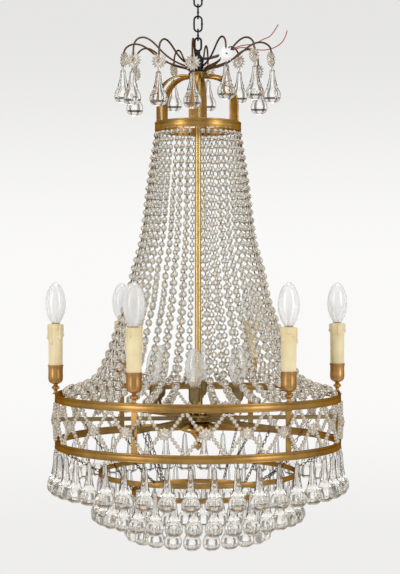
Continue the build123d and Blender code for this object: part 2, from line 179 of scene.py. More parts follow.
class CHANDELIER_PG_lamps(bpy.types.PropertyGroup):
    bulb_radius: FloatProperty(name="Bulb radius", description="Radius of the outer candle bulbs",
                               default=17.5 * MM, unit="LENGTH")
    inner_radius: FloatProperty(name="Inner bulb radius", description="Radius of the milky inner bulbs",
                                default=15.5 * MM, unit="LENGTH")
    glass_wall: FloatProperty(name="Glass wall", description="Thickness of the bulb glass",
                              default=0.7 * MM, unit="LENGTH")
    drips: IntProperty(name="Wax drips", description="Drips round the rim of each sleeve", default=8)
    wax: FloatVectorProperty(name="Wax", description="Cream colour of the sleeves", subtype="COLOR", size=4,
                             default=(0.80, 0.69, 0.43, 1.0))


class CHANDELIER_PG_stage(bpy.types.PropertyGroup):
    backdrop: FloatVectorProperty(name="Backdrop", description="Pale grey behind the object", subtype="COLOR",
                                  size=4, default=(0.90, 0.895, 0.885, 1.0))
    camera_distance: FloatProperty(name="Camera distance", description="From the chandelier's axis",
                                   default=2.33, unit="LENGTH")
    camera_rise: FloatProperty(name="Camera rise", description="Above the middle of the upper band",
                               default=0.191, unit="LENGTH")
    lens: FloatProperty(name="Lens", description="Focal length in millimetres", default=83.4)


# Modelling


def clear_selection():
    """Leave edit mode with nothing selected."""
    if bpy.context.mode != "OBJECT":
        bpy.ops.object.mode_set(mode="OBJECT")
    bpy.ops.object.select_all(action="DESELECT")


def settle():
    """Apply the place of the active piece, so that its object stays at the origin."""
    bpy.ops.object.transform_apply(location=True, rotation=True, scale=True)
    return bpy.context.active_object


def turned(sides, stations, smooth=35.0):
    """A turned piece on the Z axis, extruded and scaled through (height, radius) stations."""
    clear_selection()
    height, radius = stations[0]
    bpy.ops.mesh.primitive_circle_add(vertices=sides, radius=radius, fill_type="NGON",
                                      location=(0, 0, height))
    piece = settle()
    bpy.ops.object.mode_set(mode="EDIT")
    bpy.ops.mesh.select_all(action="SELECT")
    for next_height, next_radius in stations[1:]:
        bpy.ops.mesh.extrude_region_move(TRANSFORM_OT_translate={"value": (0, 0, next_height - height)})
        scale = next_radius / radius
        bpy.ops.transform.resize(value=(scale, scale, 1), center_override=(0, 0, next_height))
        height, radius = next_height, next_radius
    bpy.ops.mesh.select_all(action="SELECT")
    bpy.ops.mesh.normals_make_consistent(inside=False)
    bpy.ops.object.mode_set(mode="OBJECT")
    bpy.ops.object.shade_smooth_by_angle(angle=math.radians(smooth))
    return piece


def raised(level, outline):
    """Stations over a level, from an outline of (height, radius) points in millimetres."""
    return [(level + height * MM, radius * MM) for height, radius in outline]


def curved(points, steps):
    """Stations along a smooth curve through a few (height, radius) points."""
    stations = []
    last = len(points) - 1
    for i in range(last):
        before, a, b, after = (Vector(points[min(max(k, 0), last)]) for k in (i - 1, i, i + 1, i + 2))
        for step in range(steps):
            t = step / steps
            bend = 2 * before - 5 * a + 4 * b - after
            stations.append(tuple(0.5 * (2 * a + (b - before) * t + bend * t * t
                                         + (3 * a - before - 3 * b + after) * t ** 3)))
    stations.append(tuple(points[-1]))
    return stations


def select_vertices(piece, wanted):
    """Enter edit mode with just the vertices selected for which wanted(place) is true."""
    bpy.ops.object.mode_set(mode="EDIT")
    bpy.ops.mesh.select_mode(type="VERT")
    bpy.ops.mesh.select_all(action="DESELECT")
    bpy.ops.object.mode_set(mode="OBJECT")
    for vertex in piece.data.vertices:
        vertex.select = wanted(vertex.co)
    bpy.ops.object.mode_set(mode="EDIT")


def select_faces(piece, wanted):
    """Enter edit mode with just the faces selected for which wanted(face) is true."""
    bpy.ops.object.mode_set(mode="EDIT")
    bpy.ops.mesh.select_mode(type="FACE")
    bpy.ops.mesh.select_all(action="DESELECT")
    bpy.ops.object.mode_set(mode="OBJECT")
    for face in piece.data.polygons:
        face.select = wanted(face)
    bpy.ops.object.mode_set(mode="EDIT")


def apply_modifier(piece, kind, **values):
    """Finish a piece with one modifier and its values."""
    modifier = piece.modifiers.new(kind.lower(), kind)
    for name, value in values.items():
        setattr(modifier, name, value)
    clear_selection()
    piece.select_set(True)
    bpy.context.view_layer.objects.active = piece
    bpy.ops.object.modifier_apply(modifier=modifier.name)


def every_second_column(sides):
    """A test for every second column of a turned piece's vertices."""
    step = 2 * math.pi / sides

    def test(place):
        return round(math.atan2(place.y, place.x) / step) % 2 == 1
    return test


def oval_link(width, length, wire, around, across):
    """An upright chain link in the XZ plane, its middle at the origin, with its counts of segments."""
    clear_selection()
    bpy.ops.mesh.primitive_torus_add(major_radius=(width - wire) / 2, minor_radius=wire / 2,
                                     major_segments=around, minor_segments=across,
                                     rotation=(QUARTER, 0, 0))
    link = settle()
    stretch = (length - width) / 2
    for side in (1, -1):
        select_vertices(link, lambda place: place.z * side > wire / 20)
        bpy.ops.transform.translate(value=(0, 0, side * stretch))
    bpy.ops.object.mode_set(mode="OBJECT")
    bpy.ops.object.shade_smooth()
    return link


def hoop(radius, wall, low, high, sides):
    """A hoop of flat strip about the Z axis."""
    clear_selection()
    bpy.ops.mesh.primitive_cylinder_add(vertices=sides, radius=radius, depth=high - low,
                                        end_fill_type="NOTHING", location=(0, 0, (low + high) / 2))
    ring = settle()
    apply_modifier(ring, "SOLIDIFY", thickness=wall, offset=-1)
    apply_modifier(ring, "BEVEL", width=0.35 * MM, segments=2, limit_method="ANGLE",
                   angle_limit=math.radians(40))
    clear_selection()
    ring.select_set(True)
    bpy.ops.object.shade_smooth_by_angle(angle=math.radians(30))
    return ring


def rimmed_hoop(radius, wall, low, high, sides, metals):
    """A hoop whose edges carry a rolled rim each, the lower one slimmer and the upper one over a groove."""
    groove = high - metals.rim * 0.9
    set_back, deep_set_back = metals.rim_stand, 3 * metals.rim_stand
    pieces = [hoop(radius - set_back, wall - set_back, low, groove, sides),
              hoop(radius - deep_set_back, wall - deep_set_back, groove - 1 * MM, high, sides)]
    for level, share in ((low, 0.85), (high, 1.0)):
        rim = metals.rim * share
        clear_selection()
        bpy.ops.mesh.primitive_torus_add(major_radius=radius - rim / 2, minor_radius=rim / 2,
                                         major_segments=sides, minor_segments=8, location=(0, 0, level))
        pieces.append(settle())
        bpy.ops.object.shade_smooth()
    return joined(pieces)


def rounded_wire(name, points, thickness, resolution=6, order=4):
    """A wire along one smooth spline, as a closed mesh."""
    clear_selection()
    curve = bpy.data.curves.new(name, "CURVE")
    curve.dimensions = "3D"
    curve.bevel_depth = thickness / 2
    curve.bevel_resolution = 2
    curve.use_fill_caps = True
    curve.resolution_u = resolution
    spline = curve.splines.new("NURBS")
    spline.points.add(len(points) - 1)
    for point, place in zip(spline.points, points):
        point.co = (*place, 1)
    spline.order_u = order
    spline.use_endpoint_u = True
    wire = bpy.data.objects.new(name, curve)
    bpy.context.scene.collection.objects.link(wire)
    wire.select_set(True)
    bpy.context.view_layer.objects.active = wire
    bpy.ops.object.convert(target="MESH")
    wire = bpy.context.active_object
    bpy.ops.object.mode_set(mode="EDIT")
    bpy.ops.mesh.select_all(action="SELECT")
    bpy.ops.mesh.remove_doubles(threshold=0.01 * MM)
    bpy.ops.mesh.normals_make_consistent(inside=False)
    bpy.ops.object.mode_set(mode="OBJECT")
    bpy.ops.object.shade_smooth_by_angle(angle=math.radians(50))
    return wire


def joined(pieces):
    """Pieces made into one object."""
    clear_selection()
    for piece in pieces:
        piece.select_set(True)
    bpy.context.view_layer.objects.active = pieces[0]
    if len(pieces) > 1:
        bpy.ops.object.join()
    return bpy.context.view_layer.objects.active


def copied(piece, matrix):
    """A copy of a piece with its own mesh, carried by a matrix."""
    copy = piece.copy()
    copy.data = piece.data.copy()
    copy.data.transform(matrix)
    bpy.context.scene.collection.objects.link(copy)
    return copy


def repeated(piece, matrices):
    """Copies of a piece at each matrix, joined in one object. The piece itself goes."""
    copies = [copied(piece, matrix) for matrix in matrices]
    bpy.data.objects.remove(piece)
    return joined(copies)


def facing(angle):
    """Turns a piece that was modelled towards +X to its angle towards the front."""
    return Matrix.Rotation(-math.radians(angle), 4, "Z")


def at(radius, height, angle=0.0):
    """Carries a piece from the axis out to a radius and level, facing its angle."""
    return facing(angle) @ Matrix.Translation((radius, 0, height))


def round_steps(count, phase):
    """The angles of even steps round the axis."""
    return [phase + k * 360 / count for k in range(count)]


def strand_angles():
    """The angles of the places of the bead strands."""
    return round_steps(STRAND_PLACES, LIGHT_PHASE + 180 / STRAND_PLACES)


def dress(piece, name, material, slot, body, *nodes):
    """Name a finished piece, give it its material and body, and hide what it stands for."""
    piece.name = name
    piece.data.name = name
    piece.data.materials.clear()
    piece.data.materials.append(material)
    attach(piece, body)
    if nodes:
        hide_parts(*nodes)
    return piece


def finish_node(node, material):
    """Give a node of the frame that stays its material."""
    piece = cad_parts[node]
    piece.data.materials.clear()
    piece.data.materials.append(material)


# Materials

effects = {}
finishes = {}

CLEAR_GLASS_BEND = 1.52
# Where glass seen at a slant starts to darken with painted shade, and where it is darkest
PAINTED_SHADE_SLANT = (0.25, 0.85)
# How much finer the grain of a metal is than its patches
GRAIN_FINENESS = 14.0


def feed(tree, socket, value):
    """Link an output to an input socket, or set the socket's own value."""
    if isinstance(value, bpy.types.NodeSocket):
        tree.links.new(value, socket)
    else:
        socket.default_value = value


def add_node(tree, kind, values=None, **sockets):
    """A shader node with its properties, and what feeds its input sockets by name."""
    node = tree.nodes.new(kind)
    for name, value in (values or {}).items():
        setattr(node, name, value)
    for name, value in sockets.items():
        feed(tree, node.inputs[name.replace("_", " ")], value)
    return node


def calculated(tree, operation, *terms):
    """The output of a Math node over its terms."""
    node = add_node(tree, "ShaderNodeMath", {"operation": operation})
    for socket, term in zip(node.inputs, terms):
        feed(tree, socket, term)
    return node.outputs["Value"]


def ranged(tree, value, start, end, least, most, kind="SMOOTHSTEP"):
    """A value that goes from least to most while the given one goes from start to end."""
    node = add_node(tree, "ShaderNodeMapRange", {"interpolation_type": kind}, Value=value, From_Min=start,
                    From_Max=end, To_Min=least, To_Max=most)
    return node.outputs["Result"]


def mixed(tree, kind, share, first, second):
    """A colour or a number between two, by the second one's share."""
    node = add_node(tree, "ShaderNodeMix", {"data_type": kind}, Factor=share, A=first, B=second)
    return node.outputs["Result"]


def new_group(name, **inputs):
    """A node group with colours and numbers as its inputs, which puts out colour, roughness and height."""
    tree = bpy.data.node_groups.new(name, "ShaderNodeTree")
    for label, default in inputs.items():
        kind = "NodeSocketColor" if isinstance(default, tuple) else "NodeSocketFloat"
        tree.interface.new_socket(label, in_out="INPUT", socket_type=kind).default_value = default
    for label, kind in (("Color", "NodeSocketColor"), ("Roughness", "NodeSocketFloat"),
                        ("Height", "NodeSocketFloat")):
        tree.interface.new_socket(label, in_out="OUTPUT", socket_type=kind)
    effects[name] = tree
    return tree, tree.nodes.new("NodeGroupInput").outputs, tree.nodes.new("NodeGroupOutput").inputs


def aged_metal_group():
    """Cloudy patina over metal, and a fine grain in its gloss."""
    tree, given, result = new_group("aged_metal", Bright=(1, 1, 1, 1), Deep=(0, 0, 0, 1), Scale=30.0,
                                    Wear=0.5, Smooth=0.25, Rough=0.5)
    place = add_node(tree, "ShaderNodeTexCoord").outputs["Object"]
    clouds = add_node(tree, "ShaderNodeTexNoise", Vector=place, Scale=given["Scale"], Detail=5.0,
                      Roughness=0.6).outputs["Fac"]
    patches = ranged(tree, clouds, 0.3, 0.7, 0.0, 1.0)
    patina = calculated(tree, "MULTIPLY", patches, given["Wear"])
    fineness = calculated(tree, "MULTIPLY", given["Scale"], GRAIN_FINENESS)
    grain = add_node(tree, "ShaderNodeTexNoise", Vector=place, Scale=fineness, Detail=3.0).outputs["Fac"]
    feed(tree, result["Color"], mixed(tree, "RGBA", patina, given["Bright"], given["Deep"]))
    feed(tree, result["Roughness"], ranged(tree, grain, 0.0, 1.0, given["Smooth"], given["Rough"], "LINEAR"))
    feed(tree, result["Height"], grain)


def cast_surface_group():
    """The slight clouds and the ripple of what is cast: glass, wax and plastic."""
    tree, given, result = new_group("cast_surface", Clear=(1, 1, 1, 1), Dusty=(0.8, 0.8, 0.8, 1), Scale=60.0,
                                    Smooth=0.0, Rough=0.1)
    place = add_node(tree, "ShaderNodeTexCoord").outputs["Object"]
    clouds = add_node(tree, "ShaderNodeTexNoise", Vector=place, Scale=given["Scale"],
                      Detail=2.0).outputs["Fac"]
    dust = ranged(tree, clouds, 0.35, 0.7, 0.0, 1.0, "LINEAR")
    feed(tree, result["Color"], mixed(tree, "RGBA", dust, given["Clear"], given["Dusty"]))
    feed(tree, result["Roughness"], ranged(tree, dust, 0.0, 1.0, given["Smooth"], given["Rough"], "LINEAR"))
    feed(tree, result["Height"], clouds)


def finish(name, effect, settings, bump, constants, edge=None):
    """A material whose colour, roughness and bump come from an effect, with a painted shade colour towards
    its outline at a slant.
    """
    material = bpy.data.materials.new(name)
    material.use_nodes = True
    tree = material.node_tree
    tree.nodes.clear()
    surface = add_node(tree, "ShaderNodeGroup", {"node_tree": effects[effect]}, **settings)
    strength, distance = bump
    relief = add_node(tree, "ShaderNodeBump", Strength=strength, Distance=distance,
                      Height=surface.outputs["Height"])
    colour = surface.outputs["Color"]
    # Painted shade: the colour darkens towards the outline by how slanted the surface is to the view.
    if edge:
        slant = add_node(tree, "ShaderNodeLayerWeight", Blend=0.5).outputs["Facing"]
        colour = mixed(tree, "RGBA", ranged(tree, slant, *PAINTED_SHADE_SLANT, 0.0, 1.0), colour, edge)
    shader = add_node(tree, "ShaderNodeBsdfPrincipled", Base_Color=colour, Normal=relief.outputs["Normal"],
                      Roughness=surface.outputs["Roughness"])
    for socket, value in constants.items():
        shader.inputs[socket].default_value = value
    add_node(tree, "ShaderNodeOutputMaterial", Surface=shader.outputs["BSDF"])
    finishes[name] = material


def metal(name, bright, deep, scale, wear, smooth, rough):
    """A metal: its bright and worn colours, how fine its patches are, how worn and how rough it is."""
    settings = {"Bright": tuple(bright), "Deep": tuple(deep), "Scale": scale, "Wear": wear, "Smooth": smooth,
                "Rough": rough}
    finish(name, "aged_metal", settings, (0.25, 0.2 * MM), {"Metallic": 1.0, "Specular Tint": tuple(bright)})


# The outline colour passed on to finish is painted shade at the rim of the glass.
def glass(name, clear, dusty, scale, rough, ripple, transmission=1.0, bend=CLEAR_GLASS_BEND, edge=None,
          coat=0.0):
    """A glass: its two tints, how fine its clouds are, its roughness and ripple, and how clear it is."""
    settings = {"Clear": tuple(clear), "Dusty": tuple(dusty), "Scale": scale, "Smooth": 0.0, "Rough": rough}
    constants = {"Transmission Weight": transmission, "IOR": bend, "Metallic": 0.0, "Coat Weight": coat,
                 "Coat Roughness": 0.04}
    finish(name, "cast_surface", settings, (ripple, 0.4 * MM), constants, edge)


def plain(name, clear, dusty, scale, smooth, rough, bump=(0.2, 0.2 * MM), constants=None):
    """A material that light doesn't pass: its two tints, how fine its clouds are, and how rough it is."""
    settings = {"Clear": tuple(clear), "Dusty": tuple(dusty), "Scale": scale, "Smooth": smooth,
                "Rough": rough}
    finish(name, "cast_surface", settings, bump, constants or {})


def darker(colour, share):
    """A share of a colour's light."""
    return (colour[0] * share, colour[1] * share, colour[2] * share, 1.0)


def lighter(colour, share):
    """A colour that goes a share of the way to white."""
    return tuple(part + (1 - part) * share for part in colour[:3]) + (1.0,)


def make_finishes(scene):
    """Every material of the object, by its slot in the record or by its use."""
    metals, crystal, lamps = scene.chandelier_metal, scene.chandelier_crystal, scene.chandelier_lamps
    aged_metal_group()
    cast_surface_group()
    metal("dark_iron", metals.iron, darker(metals.iron, 0.35), 60, 0.8, 0.35, 0.6)
    metal("patinated_brass", metals.patina, darker(metals.patina, 0.4), 38, 0.85, 0.3, 0.55)
    metal("gilt_brass", metals.gilt, metals.gilt_deep, 22, 0.75, 0.3, 0.46)
    metal("copper_brass", metals.copper, darker(metals.copper, 0.42), 30, 0.6, 0.28, 0.44)
    metal("inner_cup", (0.36, 0.27, 0.13, 1), (0.17, 0.12, 0.055, 1), 34, 0.8, 0.3, 0.5)
    metal("bright_brass", (0.62, 0.45, 0.19, 1), (0.48, 0.32, 0.12, 1), 16, 0.5, 0.22, 0.35)
    metal("arm_brass", (0.42, 0.31, 0.155, 1), (0.22, 0.14, 0.065, 1), 26, 0.8, 0.3, 0.5)
    metal("bead_wire", (0.05, 0.038, 0.022, 1), (0.025, 0.02, 0.012, 1), 90, 0.7, 0.4, 0.6)
    metal("hook_wire", (0.32, 0.27, 0.19, 1), (0.10, 0.08, 0.06, 1), 90, 0.7, 0.3, 0.5)
    # Painted shade towards the outline of the crystal, the drops (a lighter share of it) and the pressed
    # glass.
    edge = tuple(crystal.edge)
    glass("crystal", crystal.tint, darker(crystal.tint, 0.95), 70, 0.03, 0.15, bend=1.42, edge=edge)
    glass("drop_glass", (0.98, 0.965, 0.935, 1), (0.95, 0.93, 0.89, 1), 40, 0.02, 0.06,
          edge=lighter(edge, 0.25))
    glass("pressed_glass", (0.93, 0.87, 0.775, 1), (0.83, 0.755, 0.64, 1), 120, 0.08, 0.3, transmission=0.6,
          edge=edge)
    glass("bulb_glass", (1.0, 1.0, 0.995, 1), (0.99, 0.99, 0.985, 1), 20, 0.28, 0.02, transmission=0.74,
          bend=1.05, coat=0.8)
    glass("milky_glass", (1.0, 1.0, 0.985, 1), (0.99, 0.985, 0.97, 1), 30, 0.35, 0.05, transmission=0.84,
          bend=1.06, coat=0.8)
    glass("white_glass", (0.95, 0.95, 0.94, 1), (0.88, 0.88, 0.87, 1), 40, 0.3, 0.1, transmission=0.0)
    plain("wax", lamps.wax, (0.71, 0.58, 0.33, 1), 28, 0.35, 0.6, (0.6, 0.5 * MM),
          {"Subsurface Weight": 0.15, "Subsurface Scale": 2.0 * MM})
    plain("holder", (0.80, 0.78, 0.72, 1), (0.62, 0.59, 0.52, 1), 45, 0.15, 0.4)
    plain("black_sheath", (0.025, 0.024, 0.024, 1), (0.07, 0.065, 0.06, 1), 90, 0.45, 0.7, (0.3, 0.2 * MM))
    plain("red_insulation", (0.38, 0.03, 0.022, 1), (0.26, 0.04, 0.03, 1), 80, 0.3, 0.5)


# Pieces


class CHANDELIER_OT_suspension(bpy.types.Operator):
    """The forged hanger, the chain of oval links and the stem with its loop"""
    bl_idname = "chandelier.suspension"
    bl_label = "Suspension"

    def execute(self, context):
        self.hanger()
        self.chain()
        self.stem()
        return {"FINISHED"}

    def hanger(self):
        """The outer shell of a flat upper eye, a round lower eye and a neck between them."""
        low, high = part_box("ceiling_hanger")
        thickness, outside = high.x - low.x, high.y
        bore, chamfer = 9 * MM, 1.2 * MM
        upper = turned(32, ((-thickness / 2, bore), (-thickness / 2, outside - chamfer),
                            (-thickness / 4, outside), (thickness / 4, outside),
                            (thickness / 2, outside - chamfer), (thickness / 2, bore)))
        select_faces(upper, lambda face: len(face.vertices) > 8)
        bpy.ops.mesh.delete(type="ONLY_FACE")
        bpy.ops.mesh.select_all(action="SELECT")
        bpy.ops.mesh.normals_make_consistent(inside=False)
        bpy.ops.object.mode_set(mode="OBJECT")
        upper.data.transform(Matrix.Rotation(QUARTER, 4, "Y"))

        wire = 3.2 * MM
        eye_radius = 8.1 * MM
        eye_level = low.z + eye_radius + wire / 2
        clear_selection()
        bpy.ops.mesh.primitive_torus_add(major_radius=eye_radius, minor_radius=wire / 2, major_segments=28,
                                         minor_segments=10, rotation=(0, QUARTER, 0),
                                         location=(0, 0, eye_level))
        lower = settle()
        bpy.ops.object.shade_smooth()
        lower.data.transform(Matrix.Diagonal((thickness / wire, 1, 1, 1)))
        neck = turned(20, ((eye_level + eye_radius - 0.5 * MM, 0.44 * thickness),
                           (1.5 * MM - outside, 0.56 * thickness)))
        dress(joined([upper, lower, neck]), "hanger_forging", finishes["dark_iron"], "dark_iron", "hanger",
              "ceiling_hanger")

    def chain(self):
        """Separate links, each turned a quarter to the one above it, with its weld on one side."""
        low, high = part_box("suspension_chain")
        width, top = high.x - low.x, high.z
        weld_outline = ((-1.8, 1.7), (-0.8, 2.05), (0.8, 2.05), (1.8, 1.7))
        links = []
        for number, length in enumerate(LINK_LENGTHS):
            place = at(0, top - length / 2, -90 * (number % 2))
            link = oval_link(width, length, CHAIN_WIRE, 28, 10)
            link.data.transform(place)
            weld = turned(10, raised(0, weld_outline))
            weld.data.transform(place @ Matrix.Translation(((width - CHAIN_WIRE) / 2, 0, 0)))
            links += [link, weld]
            top = top - length + 2 * CHAIN_WIRE + CHAIN_PLAY
        dress(joined(links), "chain_links", finishes["dark_iron"], "dark_iron", "chain", "suspension_chain")

    def stem(self):
        """The loop that the last link holds, on its boss over the crown hub."""
        length = 26 * MM
        loop = oval_link(15 * MM, length, 3.6 * MM, 28, 10)
        loop.data.transform(Matrix.Translation((0, 0, head("stem_loop") - length / 2)))
        boss = turned(32, raised(HUB_TOP, ((0, 9.8), (2, 10), (4, 10), (5, 8.6), (6, 8.6), (7, 9.6),
                                           (21, 9.6), (22, 10), (24, 10), (27, 7.6), (30, 5.2), (31, 4.4),
                                           (34, 3.9), (37, 4.2), (38.5, 3.0))))
        dress(joined([loop, boss]), "stem_and_loop", finishes["dark_iron"], "dark_iron", "chandelier",
              "stem_loop")


class CHANDELIER_OT_crown(bpy.types.Operator):
    """The crown hub, its straps down to the upper ring, the bent wires and their glass stars"""
    bl_idname = "chandelier.crown"
    bl_label = "Crown"

    def execute(self, context):
        metals = context.scene.chandelier_metal
        hub = turned(36, raised(HUB_BOTTOM, ((0, 14.5), (0.8, 16.4), (3.4, 17), (4.2, 15.6), (5.6, 15.6),
                                             (6.4, 17), (8.8, 16.6), (9.8, 14.6))))
        dress(hub, "crown_hub_turning", finishes["arm_brass"], "patinated_brass", "chandelier", "crown_hub")

        ring_face = RING_BOTTOM + 4.4 * MM
        ring = rimmed_hoop(RING_RADIUS, 4 * MM, ring_face, RING_TOP, 96, metals)
        lip = hoop(RING_RADIUS - 0.9 * MM, 2 * MM, RING_BOTTOM + 1.4 * MM, ring_face + 0.2 * MM, 96)
        scallop = turned(8, raised(0, ((-0.9, 1.5), (-0.5, 2.2), (0.5, 2.2), (0.9, 1.5))))
        scallop.data.transform(Matrix.Rotation(QUARTER, 4, "Y"))
        scallops = repeated(scallop, [at(RING_RADIUS - 1.6 * MM, RING_BOTTOM + 2.2 * MM, angle)
                                      for angle in strand_angles()])
        dress(joined([ring, lip, scallops]), "upper_ring_moulding", finishes["gilt_brass"], "gilt_brass",
              "chandelier", "upper_ring")

        self.straps()
        self.wires(metals.wire)
        self.rosettes()
        return {"FINISHED"}

    def straps(self):
        """Flat strips that rise from the upper ring and bend in to the hub, each on its rivet."""
        width, thickness, bend = 15 * MM, 3 * MM, 48 * MM
        level, low = RING_RADIUS - 0.4 * MM - thickness / 2, foot("crown_straps")
        bend_middle = bend - thickness / 2
        shoulder = head("crown_straps") - thickness / 2 - bend_middle
        bend_axis = level - bend_middle
        clear_selection()
        bpy.ops.mesh.primitive_plane_add(size=1, location=(level, 0, low))
        strap = bpy.context.active_object
        strap.scale = (thickness, width, 1)
        strap = settle()
        bpy.ops.object.mode_set(mode="EDIT")
        bpy.ops.mesh.select_all(action="SELECT")
        bpy.ops.mesh.extrude_region_move(TRANSFORM_OT_translate={"value": (0, 0, shoulder - low)})
        bpy.ops.mesh.spin(steps=14, angle=QUARTER, center=(bend_axis, 0, shoulder), axis=(0, 1, 0))
        bpy.ops.mesh.extrude_region_move(TRANSFORM_OT_translate={"value": (15.8 * MM - bend_axis, 0, 0)})
        bpy.ops.mesh.select_all(action="SELECT")
        bpy.ops.mesh.remove_doubles(threshold=0.01 * MM)
        bpy.ops.mesh.normals_make_consistent(inside=False)
        bpy.ops.object.mode_set(mode="OBJECT")
        apply_modifier(strap, "BEVEL", width=0.5 * MM, segments=2, limit_method="ANGLE",
                       angle_limit=math.radians(40))
        strap.select_set(True)
        bpy.ops.object.shade_smooth_by_angle(angle=math.radians(30))
        rivet = turned(12, raised(0, ((-0.4, 2.6), (0.6, 2.4), (1.3, 1.2))))
        rivet.data.transform(Matrix.Translation((level + thickness / 2, 0, RING_TOP + 4 * MM))
                             @ Matrix.Rotation(QUARTER, 4, "Y"))
        straps = repeated(joined([strap, rivet]), [facing(a) for a in round_steps(STRAP_COUNT, STRAP_PHASE)])
        dress(straps, "crown_strap_bands", finishes["gilt_brass"], "gilt_brass", "chandelier", "crown_straps")

    def wires(self, thickness):
        """The bent wires, each up from the hub, over its crest and down to its star."""
        pieces = []
        for angle, lift, rise, _ in CROWN_WIRES:
            crest = HUB_TOP + rise * MM
            end = HUB_TOP + (23 + lift) * MM
            shoulder = crest + 0.35 * (end - crest)
            route = [Vector((r * MM, 0, z)) for r, z in (
                (11, HUB_TOP - 3 * MM), (15, HUB_TOP + 8 * MM), (38, HUB_TOP + 0.22 * rise * MM),
                (70, HUB_TOP + 0.55 * rise * MM), (88, crest - 2 * MM), (108, crest + 7 * MM),
                (125, crest + 1 * MM), (131, shoulder), (129, end))]
            pieces.append(rounded_wire("crown_wire", [facing(angle) @ place for place in route], thickness))
        dress(joined(pieces), "crown_wire_arcs", finishes["patinated_brass"], "patinated_brass", "chandelier",
              "crown_wires")

    def rosettes(self):
        """The crown's stars, each with a gap between two petals at its foot, where the drop's link hangs."""
        petals = 14
        stars, knobs = [], []
        for angle, lift, _, twist in CROWN_WIRES:
            place = (at(CROWN_STAR_REACH, HUB_TOP + (22.5 + lift) * MM, angle)
                     @ Matrix.Rotation(math.radians(twist), 4, "Z"))
            star = pressed_star(14.5 * MM, 5 * MM, petals)
            star.data.transform(place @ Matrix.Rotation(math.pi / petals, 4, "X"))
            stars.append(star)
            knob = turned(10, raised(0, ((5, 1.6), (5.6, 1.9), (6.4, 1.1))))
            knob.data.transform(place @ Matrix.Rotation(QUARTER, 4, "Y"))
            knobs.append(knob)
        white = stars.pop(WHITE_ROSETTE)
        dress(joined(stars), "crown_stars", finishes["pressed_glass"], "crystal", "chandelier",
              "crown_rosettes")
        dress(white, "crown_star_white", finishes["white_glass"], "crystal", "chandelier")
        dress(joined(knobs), "crown_star_pins", finishes["hook_wire"], "patinated_brass", "chandelier")


def pressed_star(radius, thickness, petals):
    """A pressed glass star facing +X, with petals, a dished face and a boss."""
    outline = ((0, 0.94), (0.15, 1.0), (0.35, 0.93), (0.8, 0.5), (0.55, 0.34), (0.85, 0.28), (1.0, 0.12))
    star = turned(petals * 2, [(height * thickness, share * radius) for height, share in outline], smooth=12)
    gap = every_second_column(petals * 2)
    select_vertices(star, lambda place: gap(place) and place.xy.length > radius * 0.8)
    bpy.ops.transform.resize(value=(0.7, 0.7, 1), center_override=(0, 0, 0))
    select_vertices(star, lambda place: gap(place) and radius * 0.4 < place.xy.length < radius * 0.85)
    bpy.ops.transform.translate(value=(0, 0, -thickness * 0.3))
    bpy.ops.object.mode_set(mode="OBJECT")
    star.data.transform(Matrix.Rotation(QUARTER, 4, "Y"))
    return star


# Shares of a neck's length, and its radius there as a share of the neck's
TIER_NECK = ((0.12, 1.62), (0.3, 1.3), (0.52, 1.08), (0.75, 0.95), (0.92, 0.8), (1.0, 0.5))
CROWN_NECK = ((0.12, 1.85), (0.3, 1.45), (0.55, 1.12), (0.78, 0.98), (0.94, 0.9), (1.0, 0.55))


def glass_drop(crystal, bottom, top, neck_outline):
    """A pear-shaped drop: a full bulb, a waist and a fluted neck."""
    sides = 20
    radius, neck = crystal.drop_radius, crystal.drop_neck
    bulb = ((0, 0.30), (0.05, 0.52), (0.22, 0.80), (0.50, 0.96), (0.85, 1.0), (1.2, 0.93), (1.5, 0.77),
            (1.8, 0.59))
    stations = [(bottom + z * radius, r * radius) for z, r in bulb]
    start = stations[-1][0]
    for share, width in neck_outline:
        stations.append((start + share * (top - start), width * neck))
    drop = turned(sides, stations, smooth=40)
    flute = every_second_column(sides)
    flute_foot, flute_head = start + 0.06 * (top - bottom), top - 1.5 * MM
    select_vertices(drop, lambda place: flute(place) and flute_foot < place.z < flute_head)
    bpy.ops.transform.resize(value=(0.84, 0.84, 1), center_override=(0, 0, 0))
    bpy.ops.object.mode_set(mode="OBJECT")
    return drop


class CHANDELIER_OT_crown_drops(bpy.types.Operator):
    """The glass drops that swing below the crown stars, each on its wire link"""
    bl_idname = "chandelier.crown_drops"
    bl_label = "Crown drops"

    def execute(self, context):
        crystal = context.scene.chandelier_crystal
        for number, (angle, *_) in enumerate(CROWN_WIRES, start=1):
            node, body = f"crown_drop_{number:02d}", f"drop_{number:02d}"
            top = head(node)
            place = at(CROWN_DROP_REACH, 0, angle)
            drop = glass_drop(crystal, foot(node), top - 4 * MM, CROWN_NECK)
            drop.data.transform(place)
            dress(drop, f"crown_glass_{number:02d}", finishes["drop_glass"], "crystal", body, node)
            link = oval_link(3.6 * MM, crystal.hook_length, 0.8 * MM, 12, 5)
            link.data.transform(place @ Matrix.Translation((0, 0, top - 3.8 * MM)))
            dress(link, f"crown_link_{number:02d}", finishes["hook_wire"], "patinated_brass", body)
        return {"FINISHED"}


